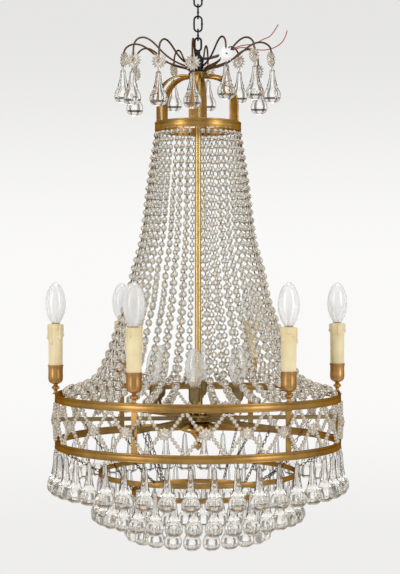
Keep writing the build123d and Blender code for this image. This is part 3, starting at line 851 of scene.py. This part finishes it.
class CHANDELIER_OT_basket(bpy.types.Operator):
    """The curtain of bead strands between the upper ring and the gallery, and the central rod"""
    bl_idname = "chandelier.basket"
    bl_label = "Bead basket"

    # Radii and levels over the middle of the upper band, in millimetres
    route = ((73, 461), (86, 374), (98, 280), (114, 217), (124, 168), (136, 134), (156, 75), (176, 36),
             (204, 18), (247, 7))
    # For each kind of strand, how far down its first bead is, in beads, and its slack between beads, in
    # millimetres
    kinds = ((0.5, 0.0), (0.56, 0.12), (0.47, 0.24), (0.53, 0.36))
    # How far down the middle bead is, as a share of the strand
    middle_share = 0.4

    def execute(self, context):
        crystal = context.scene.chandelier_crystal
        random.seed(7)
        line = self.line()
        angles = [LIGHT_PHASE + (n + 0.5) * 360 / STRAND_PLACES + random.uniform(-0.5, 0.5)
                  for n in range(STRAND_PLACES) if n != STRAND_GAP]
        random.shuffle(angles)
        beads, links = [], []
        for kind, (start, slack) in enumerate(self.kinds):
            strand_beads, strand_links = self.strand(line, crystal, start, crystal.bead_gap + slack * MM)
            turns = [facing(angle) for angle in angles[kind::len(self.kinds)]]
            beads.append(repeated(strand_beads, turns))
            links.append(repeated(strand_links, turns))
        dress(joined(beads), "strung_beads", finishes["crystal"], "crystal", "chandelier", "bead_strands")
        dress(joined(links), "bead_links", finishes["bead_wire"], "crystal", "chandelier")
        finish_node("central_rod", finishes["bright_brass"])
        return {"FINISHED"}

    def strand(self, line, crystal, start, gap):
        """The beads of one strand, the first of them a share of its size down, and the links between them."""
        bead_pieces, link_pieces = [], []
        shape = cut_bead()
        ring_length = 2.0
        ring = oval_link(0.9, ring_length, 0.4, 8, 3)
        for index, (place, run, size, wire) in enumerate(self.bead_places(line, crystal, start, gap)):
            turn = Vector((0, 0, 1)).rotation_difference(run).to_matrix().to_4x4()
            roll = Matrix.Rotation(random.uniform(0, math.pi), 4, "Z")
            bead_pieces.append(copied(shape, Matrix.Translation(place) @ turn @ roll
                                      @ Matrix.Scale(size / 2, 4)))
            quarter = Matrix.Rotation(math.radians(45 + 90 * (index % 2)), 4, "Z")
            link_pieces.append(copied(ring, Matrix.Translation(place + run * (size + wire) / 2) @ turn
                                      @ quarter @ Matrix.Scale((wire + 1.4 * MM) / ring_length, 4)))
        for spare in (shape, ring):
            bpy.data.objects.remove(spare)
        return joined(bead_pieces), joined(link_pieces)

    def line(self):
        """Closely spaced points along a strand, in the plane that faces +X."""
        points = [(r * MM, BAND_LEVEL + z * MM) for r, z in self.route]
        return [Vector((r, 0, z)) for r, z in curved(points, 12)]

    def bead_places(self, line, crystal, start, gap):
        """Centre, direction and diameter of each bead, growing on the way down, and the wire to the next."""
        lengths = [0.0]
        for a, b in zip(line, line[1:]):
            lengths.append(lengths[-1] + (b - a).length)
        total = lengths[-1]
        top, middle, bottom = crystal.bead_top, crystal.bead_middle, crystal.bead_bottom
        places, along = [], top * start
        while along < total - bottom * 0.4:
            share = along / total
            if share < self.middle_share:
                size = top + (middle - top) * share / self.middle_share
            else:
                size = middle + (bottom - middle) * (share - self.middle_share) / (1 - self.middle_share)
            k = max(i for i, length in enumerate(lengths[:-1]) if length <= along)
            run = (line[k + 1] - line[k]).normalized()
            wire = gap * (1 - 0.3 * share)
            places.append((line[k] + run * (along - lengths[k]), run, size, wire))
            along += size + wire
        return places


def cut_bead():
    """A round bead of radius 1 on the Z axis, with the flats at its bore."""
    return turned(10, ((-0.95, 0.3), (-0.72, 0.7), (-0.26, 0.97), (0.26, 0.97), (0.72, 0.7), (0.95, 0.3)),
                  smooth=60)


class CHANDELIER_OT_gallery(bpy.types.Operator):
    """The two moulded bands with their uprights, pins, glass stars and the lattice of small beads"""
    bl_idname = "chandelier.gallery"
    bl_label = "Gallery"

    def execute(self, context):
        metals, crystal = context.scene.chandelier_metal, context.scene.chandelier_crystal
        for side in ("upper", "lower"):
            node = f"main_band_{side}"
            band = rimmed_hoop(BAND_RADIUS, 4 * MM, foot(node), head(node), 144, metals)
            dress(band, f"{side}_band_moulding", finishes["gilt_brass"], "gilt_brass", "chandelier", node)
        finish_node("gallery_uprights", finishes["gilt_brass"])
        self.pins()

        star = pressed_star(11.8 * MM, 4 * MM, 10)
        star.data.transform(Matrix.Translation((BAND_RADIUS + 2.5 * MM, 0, STAR_LEVEL)))
        stars = repeated(star, [facing(a) for a in round_steps(STAR_COUNT, STAR_PHASE)])
        dress(stars, "gallery_glass_stars", finishes["pressed_glass"], "crystal", "chandelier",
              "gallery_stars")
        self.lattice(crystal)
        return {"FINISHED"}

    def pins(self):
        """The small pins on the bands that hold the strings of the lattice and the bead strands."""
        pin = turned(6, raised(0, ((-1.4, 0.5), (0.2, 0.55), (0.5, 1.1), (1.2, 1.0), (1.5, 0.5))))
        spots = []
        for angle in round_steps(STAR_COUNT, STAR_PHASE + 180 / STAR_COUNT):
            spots += [at(BAND_RADIUS - 1.5 * MM, BAND_TOP, angle),
                      at(BAND_RADIUS - 1.5 * MM, LOWER_TOP, angle),
                      at(BAND_RADIUS - 1.0 * MM, BAND_BOTTOM - 1.2 * MM, angle)]
        for angle in strand_angles():
            spots += [at(BAND_RADIUS - 2.2 * MM, BAND_TOP, angle),
                      at(BAND_RADIUS - 2.2 * MM, LOWER_BOTTOM, angle)]
        dress(repeated(pin, spots), "band_pins", finishes["dark_iron"], "patinated_brass", "chandelier")

    def lattice(self, crystal):
        """Strings of small beads that cross between the bands, from pins to each star."""
        half = 180 / STAR_COUNT
        size = crystal.lattice_bead
        bead = turned(6, ((-0.42 * size, 0.16 * size), (-0.3 * size, 0.38 * size), (0, 0.5 * size),
                          (0.3 * size, 0.38 * size), (0.42 * size, 0.16 * size)), smooth=60)
        places = []
        for side in (-1, 1):
            for level in (BAND_BOTTOM - 2 * MM, LOWER_TOP + 2 * MM):
                start = facing(side * (half - 0.5)) @ Vector((BAND_RADIUS - 0.5 * MM, 0, level))
                end = facing(side * 1.5) @ Vector((BAND_RADIUS + 1.2 * MM, 0, STAR_LEVEL))
                run = end - start
                count = round(run.length / (size * 1.02))
                turn = Vector((0, 0, 1)).rotation_difference(run).to_matrix().to_4x4()
                for k in range(count):
                    places.append(Matrix.Translation(start + run * (k + 0.5) / count) @ turn)
        strings = repeated(bead, places)
        lattice = repeated(strings, [facing(a) for a in round_steps(STAR_COUNT, STAR_PHASE)])
        dress(lattice, "lattice_beads", finishes["pressed_glass"], "crystal", "chandelier", "gallery_lattice")


class CHANDELIER_OT_spider(bpy.types.Operator):
    """The arms inside the gallery, their hub, the dish below it and its finial"""
    bl_idname = "chandelier.spider"
    bl_label = "Spider"

    def execute(self, context):
        finish_node("spider_arms", finishes["arm_brass"])
        hub = turned(36, raised(SPIDER_BOTTOM, ((0, 22), (1, 23), (3.5, 23), (4.5, 21.8), (6.5, 21.8),
                                                (7.5, 23), (10, 23), (11, 21))))
        dress(hub, "spider_hub_turning", finishes["arm_brass"], "patinated_brass", "chandelier", "spider_hub")

        dish_foot = foot("hub_dish")
        bowl = raised(SPIDER_BOTTOM, ((0, 14), (-3, 24), (-8, 34), (-11.5, 37)))
        underside = raised(SPIDER_BOTTOM, ((-13, 37), (-14.5, 34), (-18, 25))) + [(dish_foot, 13.5 * MM)]
        dish = turned(48, curved(bowl, 3) + curved(underside, 3))
        dress(dish, "hub_dish_spinning", finishes["bright_brass"], "gilt_brass", "chandelier", "hub_dish")

        finial = turned(28, raised(dish_foot, ((0, 13), (-1.4, 13), (-2.2, 11.4), (-6, 8.0), (-11, 4.6),
                                               (-15, 3.2), (-16.4, 4.6), (-17.6, 6.0), (-19.5, 6.7),
                                               (-22.5, 6.7), (-25, 5.6), (-27.4, 3.4), (-28.6, 2.2),
                                               (-29.9, 1.2))))
        dress(finial, "hub_finial_turning", finishes["copper_brass"], "copper_brass", "chandelier",
              "hub_finial")
        return {"FINISHED"}


def candle_bulb(rim, radius, height, wall):
    """A hollow candle bulb over a rim: bottom of the glass to its pointed tip."""
    shares = ((0.02, 0.38), (0.07, 0.5), (0.17, 0.73), (0.32, 0.93), (0.48, 1.0), (0.64, 0.95), (0.78, 0.8),
              (0.89, 0.58), (0.965, 0.31), (1.0, 0.08))
    points = [(rim + share * height, width * radius) for share, width in shares]
    envelope = turned(28, curved(points, 3), smooth=60)
    apply_modifier(envelope, "SOLIDIFY", thickness=wall, offset=-1)
    return envelope


def bulb_cap(rim):
    """The threaded brass cap of a small candle bulb, down in its holder."""
    bottom = rim - 15.4 * MM
    stations = raised(bottom, ((0, 3.0), (1.5, 4.2), (2.5, 5.4)))
    for thread in range(5):
        stations += raised(bottom + (3.4 + 2.1 * thread) * MM, ((0, 5.7), (1.0, 6.3)))
    return turned(20, stations + raised(rim, ((0, 5.8), (3, 6.2))))


def filament(rim, height):
    """The glass mount of a bulb with its supports and filament."""
    mount = turned(12, ((rim, 3.4 * MM), (rim + 0.12 * height, 2.4 * MM), (rim + 0.26 * height, 1.2 * MM),
                        (rim + 0.30 * height, 1.6 * MM)))
    top = rim + 0.52 * height
    legs = [rounded_wire("support", [Vector((side * 1.2 * MM, 0, rim + 0.1 * height)),
                                     Vector((side * 2 * MM, 0, rim + 0.3 * height)),
                                     Vector((side * 6 * MM, 0, top))], 0.5 * MM, 4, 3) for side in (-1, 1)]
    zigzag = [Vector(((k / 4 - 1) * 6 * MM, 1.2 * MM * math.sin(k * 2.2), top + 1.5 * MM * math.sin(k * 1.6)))
              for k in range(9)]
    coil = rounded_wire("coil", zigzag, 0.35 * MM, 2, 3)
    return mount, joined(legs + [coil])


class CHANDELIER_OT_candles(bpy.types.Operator):
    """The six outer candles: turned cups, dripping sleeves, holders and clear bulbs"""
    bl_idname = "chandelier.candles"
    bl_label = "Candles"

    def execute(self, context):
        lamps = context.scene.chandelier_lamps
        places = [at(LIGHT_REACH, 0, angle) for angle in round_steps(LIGHT_COUNT, LIGHT_PHASE)]
        cup = turned(32, raised(BAND_TOP, ((0, 5.2), (1.6, 5.2), (2.4, 3.2), (6.5, 3.0), (8.2, 4.2),
                                           (9.4, 6.2), (11.2, 6.9), (13.0, 6.2), (14.4, 4.2), (16.2, 3.4),
                                           (17.6, 4.2), (18.6, 7.2), (20.2, 9.8), (22.6, 11.7), (26.0, 12.6),
                                           (31.0, 12.7), (38.0, 12.4), (44.0, 12.5), (48.0, 13.0),
                                           (49.2, 13.4), (50.5, 13.4), (50.5, 12.2), (30.0, 12.0))))
        dress(repeated(cup, places), "candle_cup_turnings", finishes["copper_brass"], "copper_brass",
              "chandelier", "candle_cups")

        sleeves = [self.sleeve(lamps, place, number) for number, place in enumerate(places)]
        dress(joined(sleeves), "waxed_sleeves", finishes["wax"], "wax", "chandelier", "candle_sleeves")

        holder = turned(24, [(foot("lamp_holders"), 8.8 * MM)]
                        + raised(HOLDER_TOP, ((-1, 9.0), (0, 8.8), (0, 7.2), (-15.6, 7.0))))
        dress(repeated(holder, places), "holder_tubes", finishes["holder"], "holder", "chandelier",
              "lamp_holders")

        height = head("candle_bulb_1") - HOLDER_TOP
        for number, place in enumerate(places, start=1):
            make_bulb(f"candle_bulb_{number}", "bulb_glass", place, HOLDER_TOP, lamps.bulb_radius, height,
                      lamps.glass_wall)
        return {"FINISHED"}

    def sleeve(self, lamps, place, number):
        """A cream sleeve whose wax has run down from the rim in drips."""
        bottom, top = foot("candle_sleeves"), head("candle_sleeves")
        steps = 8
        stations = [(bottom, 11.4 * MM)]
        for step in range(steps + 1):
            share = step / steps
            stations.append((bottom + 1 * MM + share * (top - bottom - 3.5 * MM), (11.8 + share) * MM))
        stations += raised(top, ((-1.2, 12.6), (0, 11.4), (0, 9.9), (-6, 9.8)))
        pieces = [turned(24, stations, smooth=60)]
        random.seed(number + 3)
        for k in range(lamps.drips):
            run = random.uniform(7, 34) * MM
            wide = random.uniform(1.8, 3.0) * MM
            turn = 360 / lamps.drips * (k + random.uniform(-0.25, 0.25))
            drip = turned(10, ((top - 1.2 * MM, wide * 0.75), (top - 0.3 * run, wide * 0.7),
                               (top - 0.75 * run, wide * 0.62), (top - 0.92 * run, wide),
                               (top - run - wide * 0.6, wide * 0.9),
                               (top - run - wide * 1.2, wide * 0.4)), smooth=60)
            drip.data.transform(at(12.7 * MM, 0, -turn))
            pieces.append(drip)
        sleeve = joined(pieces)
        sleeve.data.transform(place)
        return sleeve


def make_bulb(node, glass_slot, place, rim, radius, height, wall):
    """The glass and cap of one bulb on its own body, and the mount and filament if its glass is clear."""
    body = node + "_body"
    envelope = candle_bulb(rim, radius, height, wall)
    envelope.data.transform(place)
    dress(envelope, node + "_glass", finishes[glass_slot], glass_slot, body, node)
    cap = bulb_cap(rim)
    cap.data.transform(place)
    dress(cap, node + "_cap", finishes["copper_brass"], "copper_brass", body)
    if glass_slot == "bulb_glass":
        mount, wires = filament(rim, height)
        for piece in (mount, wires):
            piece.data.transform(place)
        dress(mount, node + "_mount", finishes["bulb_glass"], "bulb_glass", body)
        dress(wires, node + "_filament", finishes["hook_wire"], "copper_brass", body)


class CHANDELIER_OT_inner_lamps(bpy.types.Operator):
    """The six lamps inside the basket: curved brackets, cups and milky bulbs"""
    bl_idname = "chandelier.inner_lamps"
    bl_label = "Inner lamps"

    def execute(self, context):
        lamps = context.scene.chandelier_lamps
        cup_foot = foot("inner_cups")
        angles = round_steps(LIGHT_COUNT, INNER_PHASE)
        places = [at(INNER_REACH, 0, angle) for angle in angles]
        route = [Vector((r * MM, 0, z)) for r, z in (
            (14, SPIDER_TOP - 2 * MM), (14.5, SPIDER_TOP + 7 * MM), (30, SPIDER_TOP + 13 * MM),
            (56, SPIDER_TOP + 6 * MM), (76, SPIDER_TOP + 7 * MM), (82.5, cup_foot - 8 * MM),
            (82, cup_foot + 1 * MM))]
        bracket = rounded_wire("bracket", route, 5 * MM)
        dress(repeated(bracket, [facing(angle) for angle in angles]), "inner_bracket_rods",
              finishes["patinated_brass"], "patinated_brass", "chandelier", "inner_brackets")
        cup = turned(28, raised(cup_foot, ((0, 4.4), (1.5, 4.4), (2.6, 3.8), (4.2, 5.0), (6, 7.4), (9, 9.3),
                                           (14, 10.1), (26, 10.0), (28, 10.4), (30, 10.4), (30, 7.4),
                                           (14.5, 7.2))))
        dress(repeated(cup, places), "inner_cup_turnings", finishes["inner_cup"], "copper_brass",
              "chandelier", "inner_cups")

        height = head("inner_bulb_1") - INNER_CUP_TOP
        for number, place in enumerate(places, start=1):
            make_bulb(f"inner_bulb_{number}", "milky_glass", place, INNER_CUP_TOP, lamps.inner_radius, height,
                      lamps.glass_wall)
        return {"FINISHED"}


class CHANDELIER_OT_tiers(bpy.types.Operator):
    """The hoops below the gallery, their link chains and three tiers of glass drops"""
    bl_idname = "chandelier.tiers"
    bl_label = "Tiers"

    def execute(self, context):
        crystal = context.scene.chandelier_crystal
        for node, sides in (("middle_hoop", 108), ("inner_hoop", 84)):
            ring = hoop(reach(node), 3 * MM, foot(node), head(node), sides)
            dress(ring, node + "_strip", finishes["gilt_brass"], "gilt_brass", "chandelier", node)
        tier_radii = (LIGHT_REACH, reach("middle_hoop") - 1.5 * MM, reach("inner_hoop") - 1.5 * MM)
        for number, (radius, count) in enumerate(zip(tier_radii, TIER_COUNTS), start=1):
            node = f"tier_{number}_drops"
            top = head(node)
            places = [at(radius, 0, angle) for angle in round_steps(count, LIGHT_PHASE + 180 / count)]
            drop = glass_drop(crystal, foot(node), top - 7 * MM, TIER_NECK)
            dress(repeated(drop, places), f"tier_{number}_glass", finishes["drop_glass"], "crystal",
                  "chandelier", node)
            hook = oval_link(4.4 * MM, crystal.hook_length + 2 * MM, 0.9 * MM, 12, 5)
            hook.data.transform(Matrix.Translation((0, 0, top - 4 * MM)))
            dress(repeated(hook, places), f"tier_{number}_hooks", finishes["hook_wire"], "patinated_brass",
                  "chandelier")
        self.chain("middle_hoop_chains", (tier_radii[0], LOWER_BOTTOM), (tier_radii[1], head("middle_hoop")))
        self.chain("inner_hoop_chains", (200 * MM, foot("spider_arms")), (tier_radii[2], head("inner_hoop")))
        return {"FINISHED"}

    def chain(self, node, start, end):
        """Six runs of small oval links, each link turned a quarter to the next."""
        start, end = (Vector((r, 0, z)) for r, z in (start, end))
        run = end - start
        link_length, link_width, wire = 9.5 * MM, 5.6 * MM, 1.3 * MM
        pitch = link_length - 2 * wire
        count = max(2, round(run.length / pitch))
        turn = Vector((0, 0, 1)).rotation_difference(run).to_matrix().to_4x4()
        link = oval_link(link_width, link_length, wire, 12, 6)
        places = []
        for k in range(count):
            share = (k + 0.5) / count
            sag = 4 * share * (1 - share) * 2 * MM
            quarter = Matrix.Rotation(math.radians(90 * (k % 2) + 20), 4, "Z")
            places.append(Matrix.Translation(start + run * share - Vector((0, 0, sag))) @ turn @ quarter)
        strand = repeated(link, places)
        chains = repeated(strand, [facing(a) for a in round_steps(LIGHT_COUNT, LIGHT_PHASE)])
        dress(chains, node + "_links", finishes["patinated_brass"], "patinated_brass", "chandelier", node)


class CHANDELIER_OT_cable(bpy.types.Operator):
    """The black supply sheath out of the boss and its two red leads"""
    bl_idname = "chandelier.cable"
    bl_label = "Supply cable"

    def execute(self, context):
        rise = HUB_TOP / MM
        sheath = ((9.239, 0, rise + 24), (28.239, 0, rise + 24), (62.239, 8, rise + 42))
        run = (Vector(sheath[2]) - Vector(sheath[1])).normalized()
        offset = run.cross(Vector((0, 1, 0))).normalized() * 1.1
        upper = ((100, 16, 52), (115, 19, 62), (127, 21, 66), (136, 22.5, 78), (142, 24, 88.5))
        lower = ((100, 18, 43), (122, 22, 42.5), (143, 25, 51), (155, 27, 65), (158, 28, 79))
        self.cord("supply_sheath", "black_sheath", sheath, 5.0, 57.9)
        for node, side, bends, length in (("upper_lead", 1, upper, 98.2), ("lower_lead", -1, lower, 117.3)):
            start = Vector(sheath[2]) + offset * side
            points = [start, start + run * 14] + [Vector((x, y, z + rise)) for x, y, z in bends]
            self.cord(node, "red_insulation", points, 1.8, length)
        return {"FINISHED"}

    def cord(self, node, slot, points, diameter, length):
        """A cord along its points, all in millimetres."""
        curve = bpy.data.curves.new(node + "_cord", "CURVE")
        curve.dimensions = "3D"
        curve.bevel_depth = diameter / 2 * MM
        curve.bevel_resolution = 4
        curve.use_fill_caps = True
        curve.resolution_u = 12
        spline = curve.splines.new("NURBS")
        spline.points.add(len(points) - 1)
        for point, place in zip(spline.points, points):
            point.co = (*(Vector(place) * MM), 1)
        spline.order_u = 3
        spline.use_endpoint_u = True
        cord = bpy.data.objects.new(node + "_cord", curve)
        bpy.context.scene.collection.objects.link(cord)
        dress(cord, node + "_cord", finishes[slot], slot, "chandelier", node)


class CHANDELIER_OT_stage(bpy.types.Operator):
    """The camera, soft lamps, pale surroundings and floor"""
    bl_idname = "chandelier.stage"
    bl_label = "Stage"

    def execute(self, context):
        scene, stage = context.scene, context.scene.chandelier_stage
        clear_selection()
        bpy.ops.object.camera_add(location=(3.5 * MM, -stage.camera_distance, BAND_LEVEL + stage.camera_rise),
                                  rotation=(QUARTER, 0, 0))
        camera = context.active_object
        camera.data.lens = stage.lens
        scene.camera = camera
        scene.view_settings.view_transform = "Standard"
        self.surroundings(scene, stage)
        self.lamps()
        self.floor(stage)
        return {"FINISHED"}

    def lamps(self):
        """Soft boxes to the left, to the right and above, all aimed at the middle of the object."""
        middle = Vector((0, 0, -0.5))
        for name, place, width, height, power in (("left_softbox", (-1.7, -1.5, 0.0), 0.55, 1.6, 17.0),
                                                  ("right_softbox", (1.7, -1.5, 0.0), 0.55, 1.6, 17.0),
                                                  ("top_softbox", (0.2, 0.3, 1.7), 1.2, 1.2, 16.0)):
            clear_selection()
            aim = (middle - Vector(place)).to_track_quat("-Z", "Y").to_euler()
            bpy.ops.object.light_add(type="AREA", location=place, rotation=aim)
            lamp = bpy.context.active_object
            lamp.name = name
            lamp.data.shape = "RECTANGLE"
            lamp.data.size, lamp.data.size_y = width, height
            lamp.data.energy = power

    def surroundings(self, scene, stage):
        """A pale backdrop for the camera, and a studio with darker stretches for glass and metal."""
        world = bpy.data.worlds.new("studio")
        scene.world = world
        world.use_nodes = True
        tree = world.node_tree
        tree.nodes.clear()
        place = add_node(tree, "ShaderNodeTexCoord").outputs["Generated"]
        parts = add_node(tree, "ShaderNodeSeparateXYZ", Vector=place).outputs
        rays = add_node(tree, "ShaderNodeLightPath").outputs
        glossy = rays["Is Glossy Ray"]
        shiny = calculated(tree, "MAXIMUM", glossy, rays["Is Transmission Ray"])
        plain_level = mixed(tree, "FLOAT", rays["Is Camera Ray"], 0.8, self.backdrop_level(tree, parts["Z"]))
        level = mixed(tree, "FLOAT", shiny, plain_level, self.studio_level(tree, parts, glossy))
        background = add_node(tree, "ShaderNodeBackground", Color=tuple(stage.backdrop), Strength=level)
        add_node(tree, "ShaderNodeOutputWorld", Surface=background.outputs["Background"])

    def backdrop_level(self, tree, height):
        """What the camera sees: even light, a little less of it high up and far down."""
        upper = ranged(tree, height, 0.02, 0.2, 1.06, 0.88)
        return calculated(tree, "SUBTRACT", upper, ranged(tree, height, -0.08, -0.19, 0.0, 0.11))

    def studio_level(self, tree, parts, glossy):
        """What glass and metal show: light and dark levels over the height, with upright stripes."""
        stripe_count = 8.0
        azimuth = calculated(tree, "ARCTAN2", parts["X"], parts["Y"])
        wave = calculated(tree, "COSINE", calculated(tree, "MULTIPLY", azimuth, stripe_count))
        darkest = ranged(tree, glossy, 0.0, 1.0, 0.82, 0.3, "LINEAR")
        stripes = ranged(tree, wave, -0.9, 0.1, darkest, 1.1)
        rise = ranged(tree, parts["Z"], -1.0, 1.0, 0.0, 1.0, "LINEAR")
        levels = add_node(tree, "ShaderNodeValToRGB", Fac=rise)
        heights = ((0.0, 0.6), (0.22, 0.8), (0.42, 1.0), (0.61, 1.0), (0.63, 0.08), (0.695, 0.08),
                   (0.73, 0.9), (1.0, 0.7))
        elements = levels.color_ramp.elements
        while len(elements) < len(heights):
            elements.new(0.5)
        for element, (height, grey) in zip(elements, heights):
            element.position = height
            element.color = (grey, grey, grey, 1)
        return calculated(tree, "MULTIPLY", levels.outputs["Color"], stripes)

    def floor(self, stage):
        """A wide floor of the backdrop's grey, well below the object."""
        clear_selection()
        bpy.ops.mesh.primitive_grid_add(x_subdivisions=4, y_subdivisions=4, size=3.4,
                                        location=(0, 0, cad_box[0][2] - 1.0))
        floor = settle()
        floor.name = "studio_floor"
        material = bpy.data.materials.new("pale_floor")
        material.use_nodes = True
        tree = material.node_tree
        shader = tree.nodes["Principled BSDF"]
        shader.inputs["Roughness"].default_value = 0.8
        place = add_node(tree, "ShaderNodeTexCoord").outputs["Object"]
        clouds = add_node(tree, "ShaderNodeTexNoise", Vector=place, Scale=3.0, Detail=2.0).outputs["Fac"]
        colour = mixed(tree, "RGBA", clouds, tuple(stage.backdrop), darker(stage.backdrop, 0.96))
        feed(tree, shader.inputs["Base Color"], colour)
        floor.data.materials.append(material)


class CHANDELIER_PT_panel(bpy.types.Panel):
    """Sizes, colours and building steps of the chandelier"""
    bl_idname = "CHANDELIER_PT_panel"
    bl_label = "Crystal chandelier"
    bl_space_type = "VIEW_3D"
    bl_region_type = "UI"
    bl_category = "Chandelier"

    def draw(self, context):
        layout = self.layout
        for attribute in SETTINGS:
            group = getattr(context.scene, attribute)
            box = layout.box()
            for name in group.__annotations__:
                box.prop(group, name)
        for step in STEPS:
            layout.operator(step.bl_idname)


SETTINGS = {
    "chandelier_crystal": CHANDELIER_PG_crystal,
    "chandelier_metal": CHANDELIER_PG_metal,
    "chandelier_lamps": CHANDELIER_PG_lamps,
    "chandelier_stage": CHANDELIER_PG_stage,
}
STEPS = (CHANDELIER_OT_stage, CHANDELIER_OT_cable, CHANDELIER_OT_suspension, CHANDELIER_OT_crown,
         CHANDELIER_OT_crown_drops, CHANDELIER_OT_basket, CHANDELIER_OT_gallery, CHANDELIER_OT_spider,
         CHANDELIER_OT_candles, CHANDELIER_OT_inner_lamps, CHANDELIER_OT_tiers)


def register():
    for group in SETTINGS.values():
        bpy.utils.register_class(group)
    for attribute, group in SETTINGS.items():
        setattr(bpy.types.Scene, attribute, PointerProperty(type=group))
    for step in STEPS:
        bpy.utils.register_class(step)
    bpy.utils.register_class(CHANDELIER_PT_panel)


def unregister():
    bpy.utils.unregister_class(CHANDELIER_PT_panel)
    for step in reversed(STEPS):
        bpy.utils.unregister_class(step)
    for attribute in SETTINGS:
        delattr(bpy.types.Scene, attribute)
    for group in SETTINGS.values():
        bpy.utils.unregister_class(group)


def main():
    register()
    make_finishes(bpy.context.scene)
    for step in STEPS:
        group, name = step.bl_idname.split(".")
        getattr(getattr(bpy.ops, group), name)()


if __name__ == "__main__":
    main()
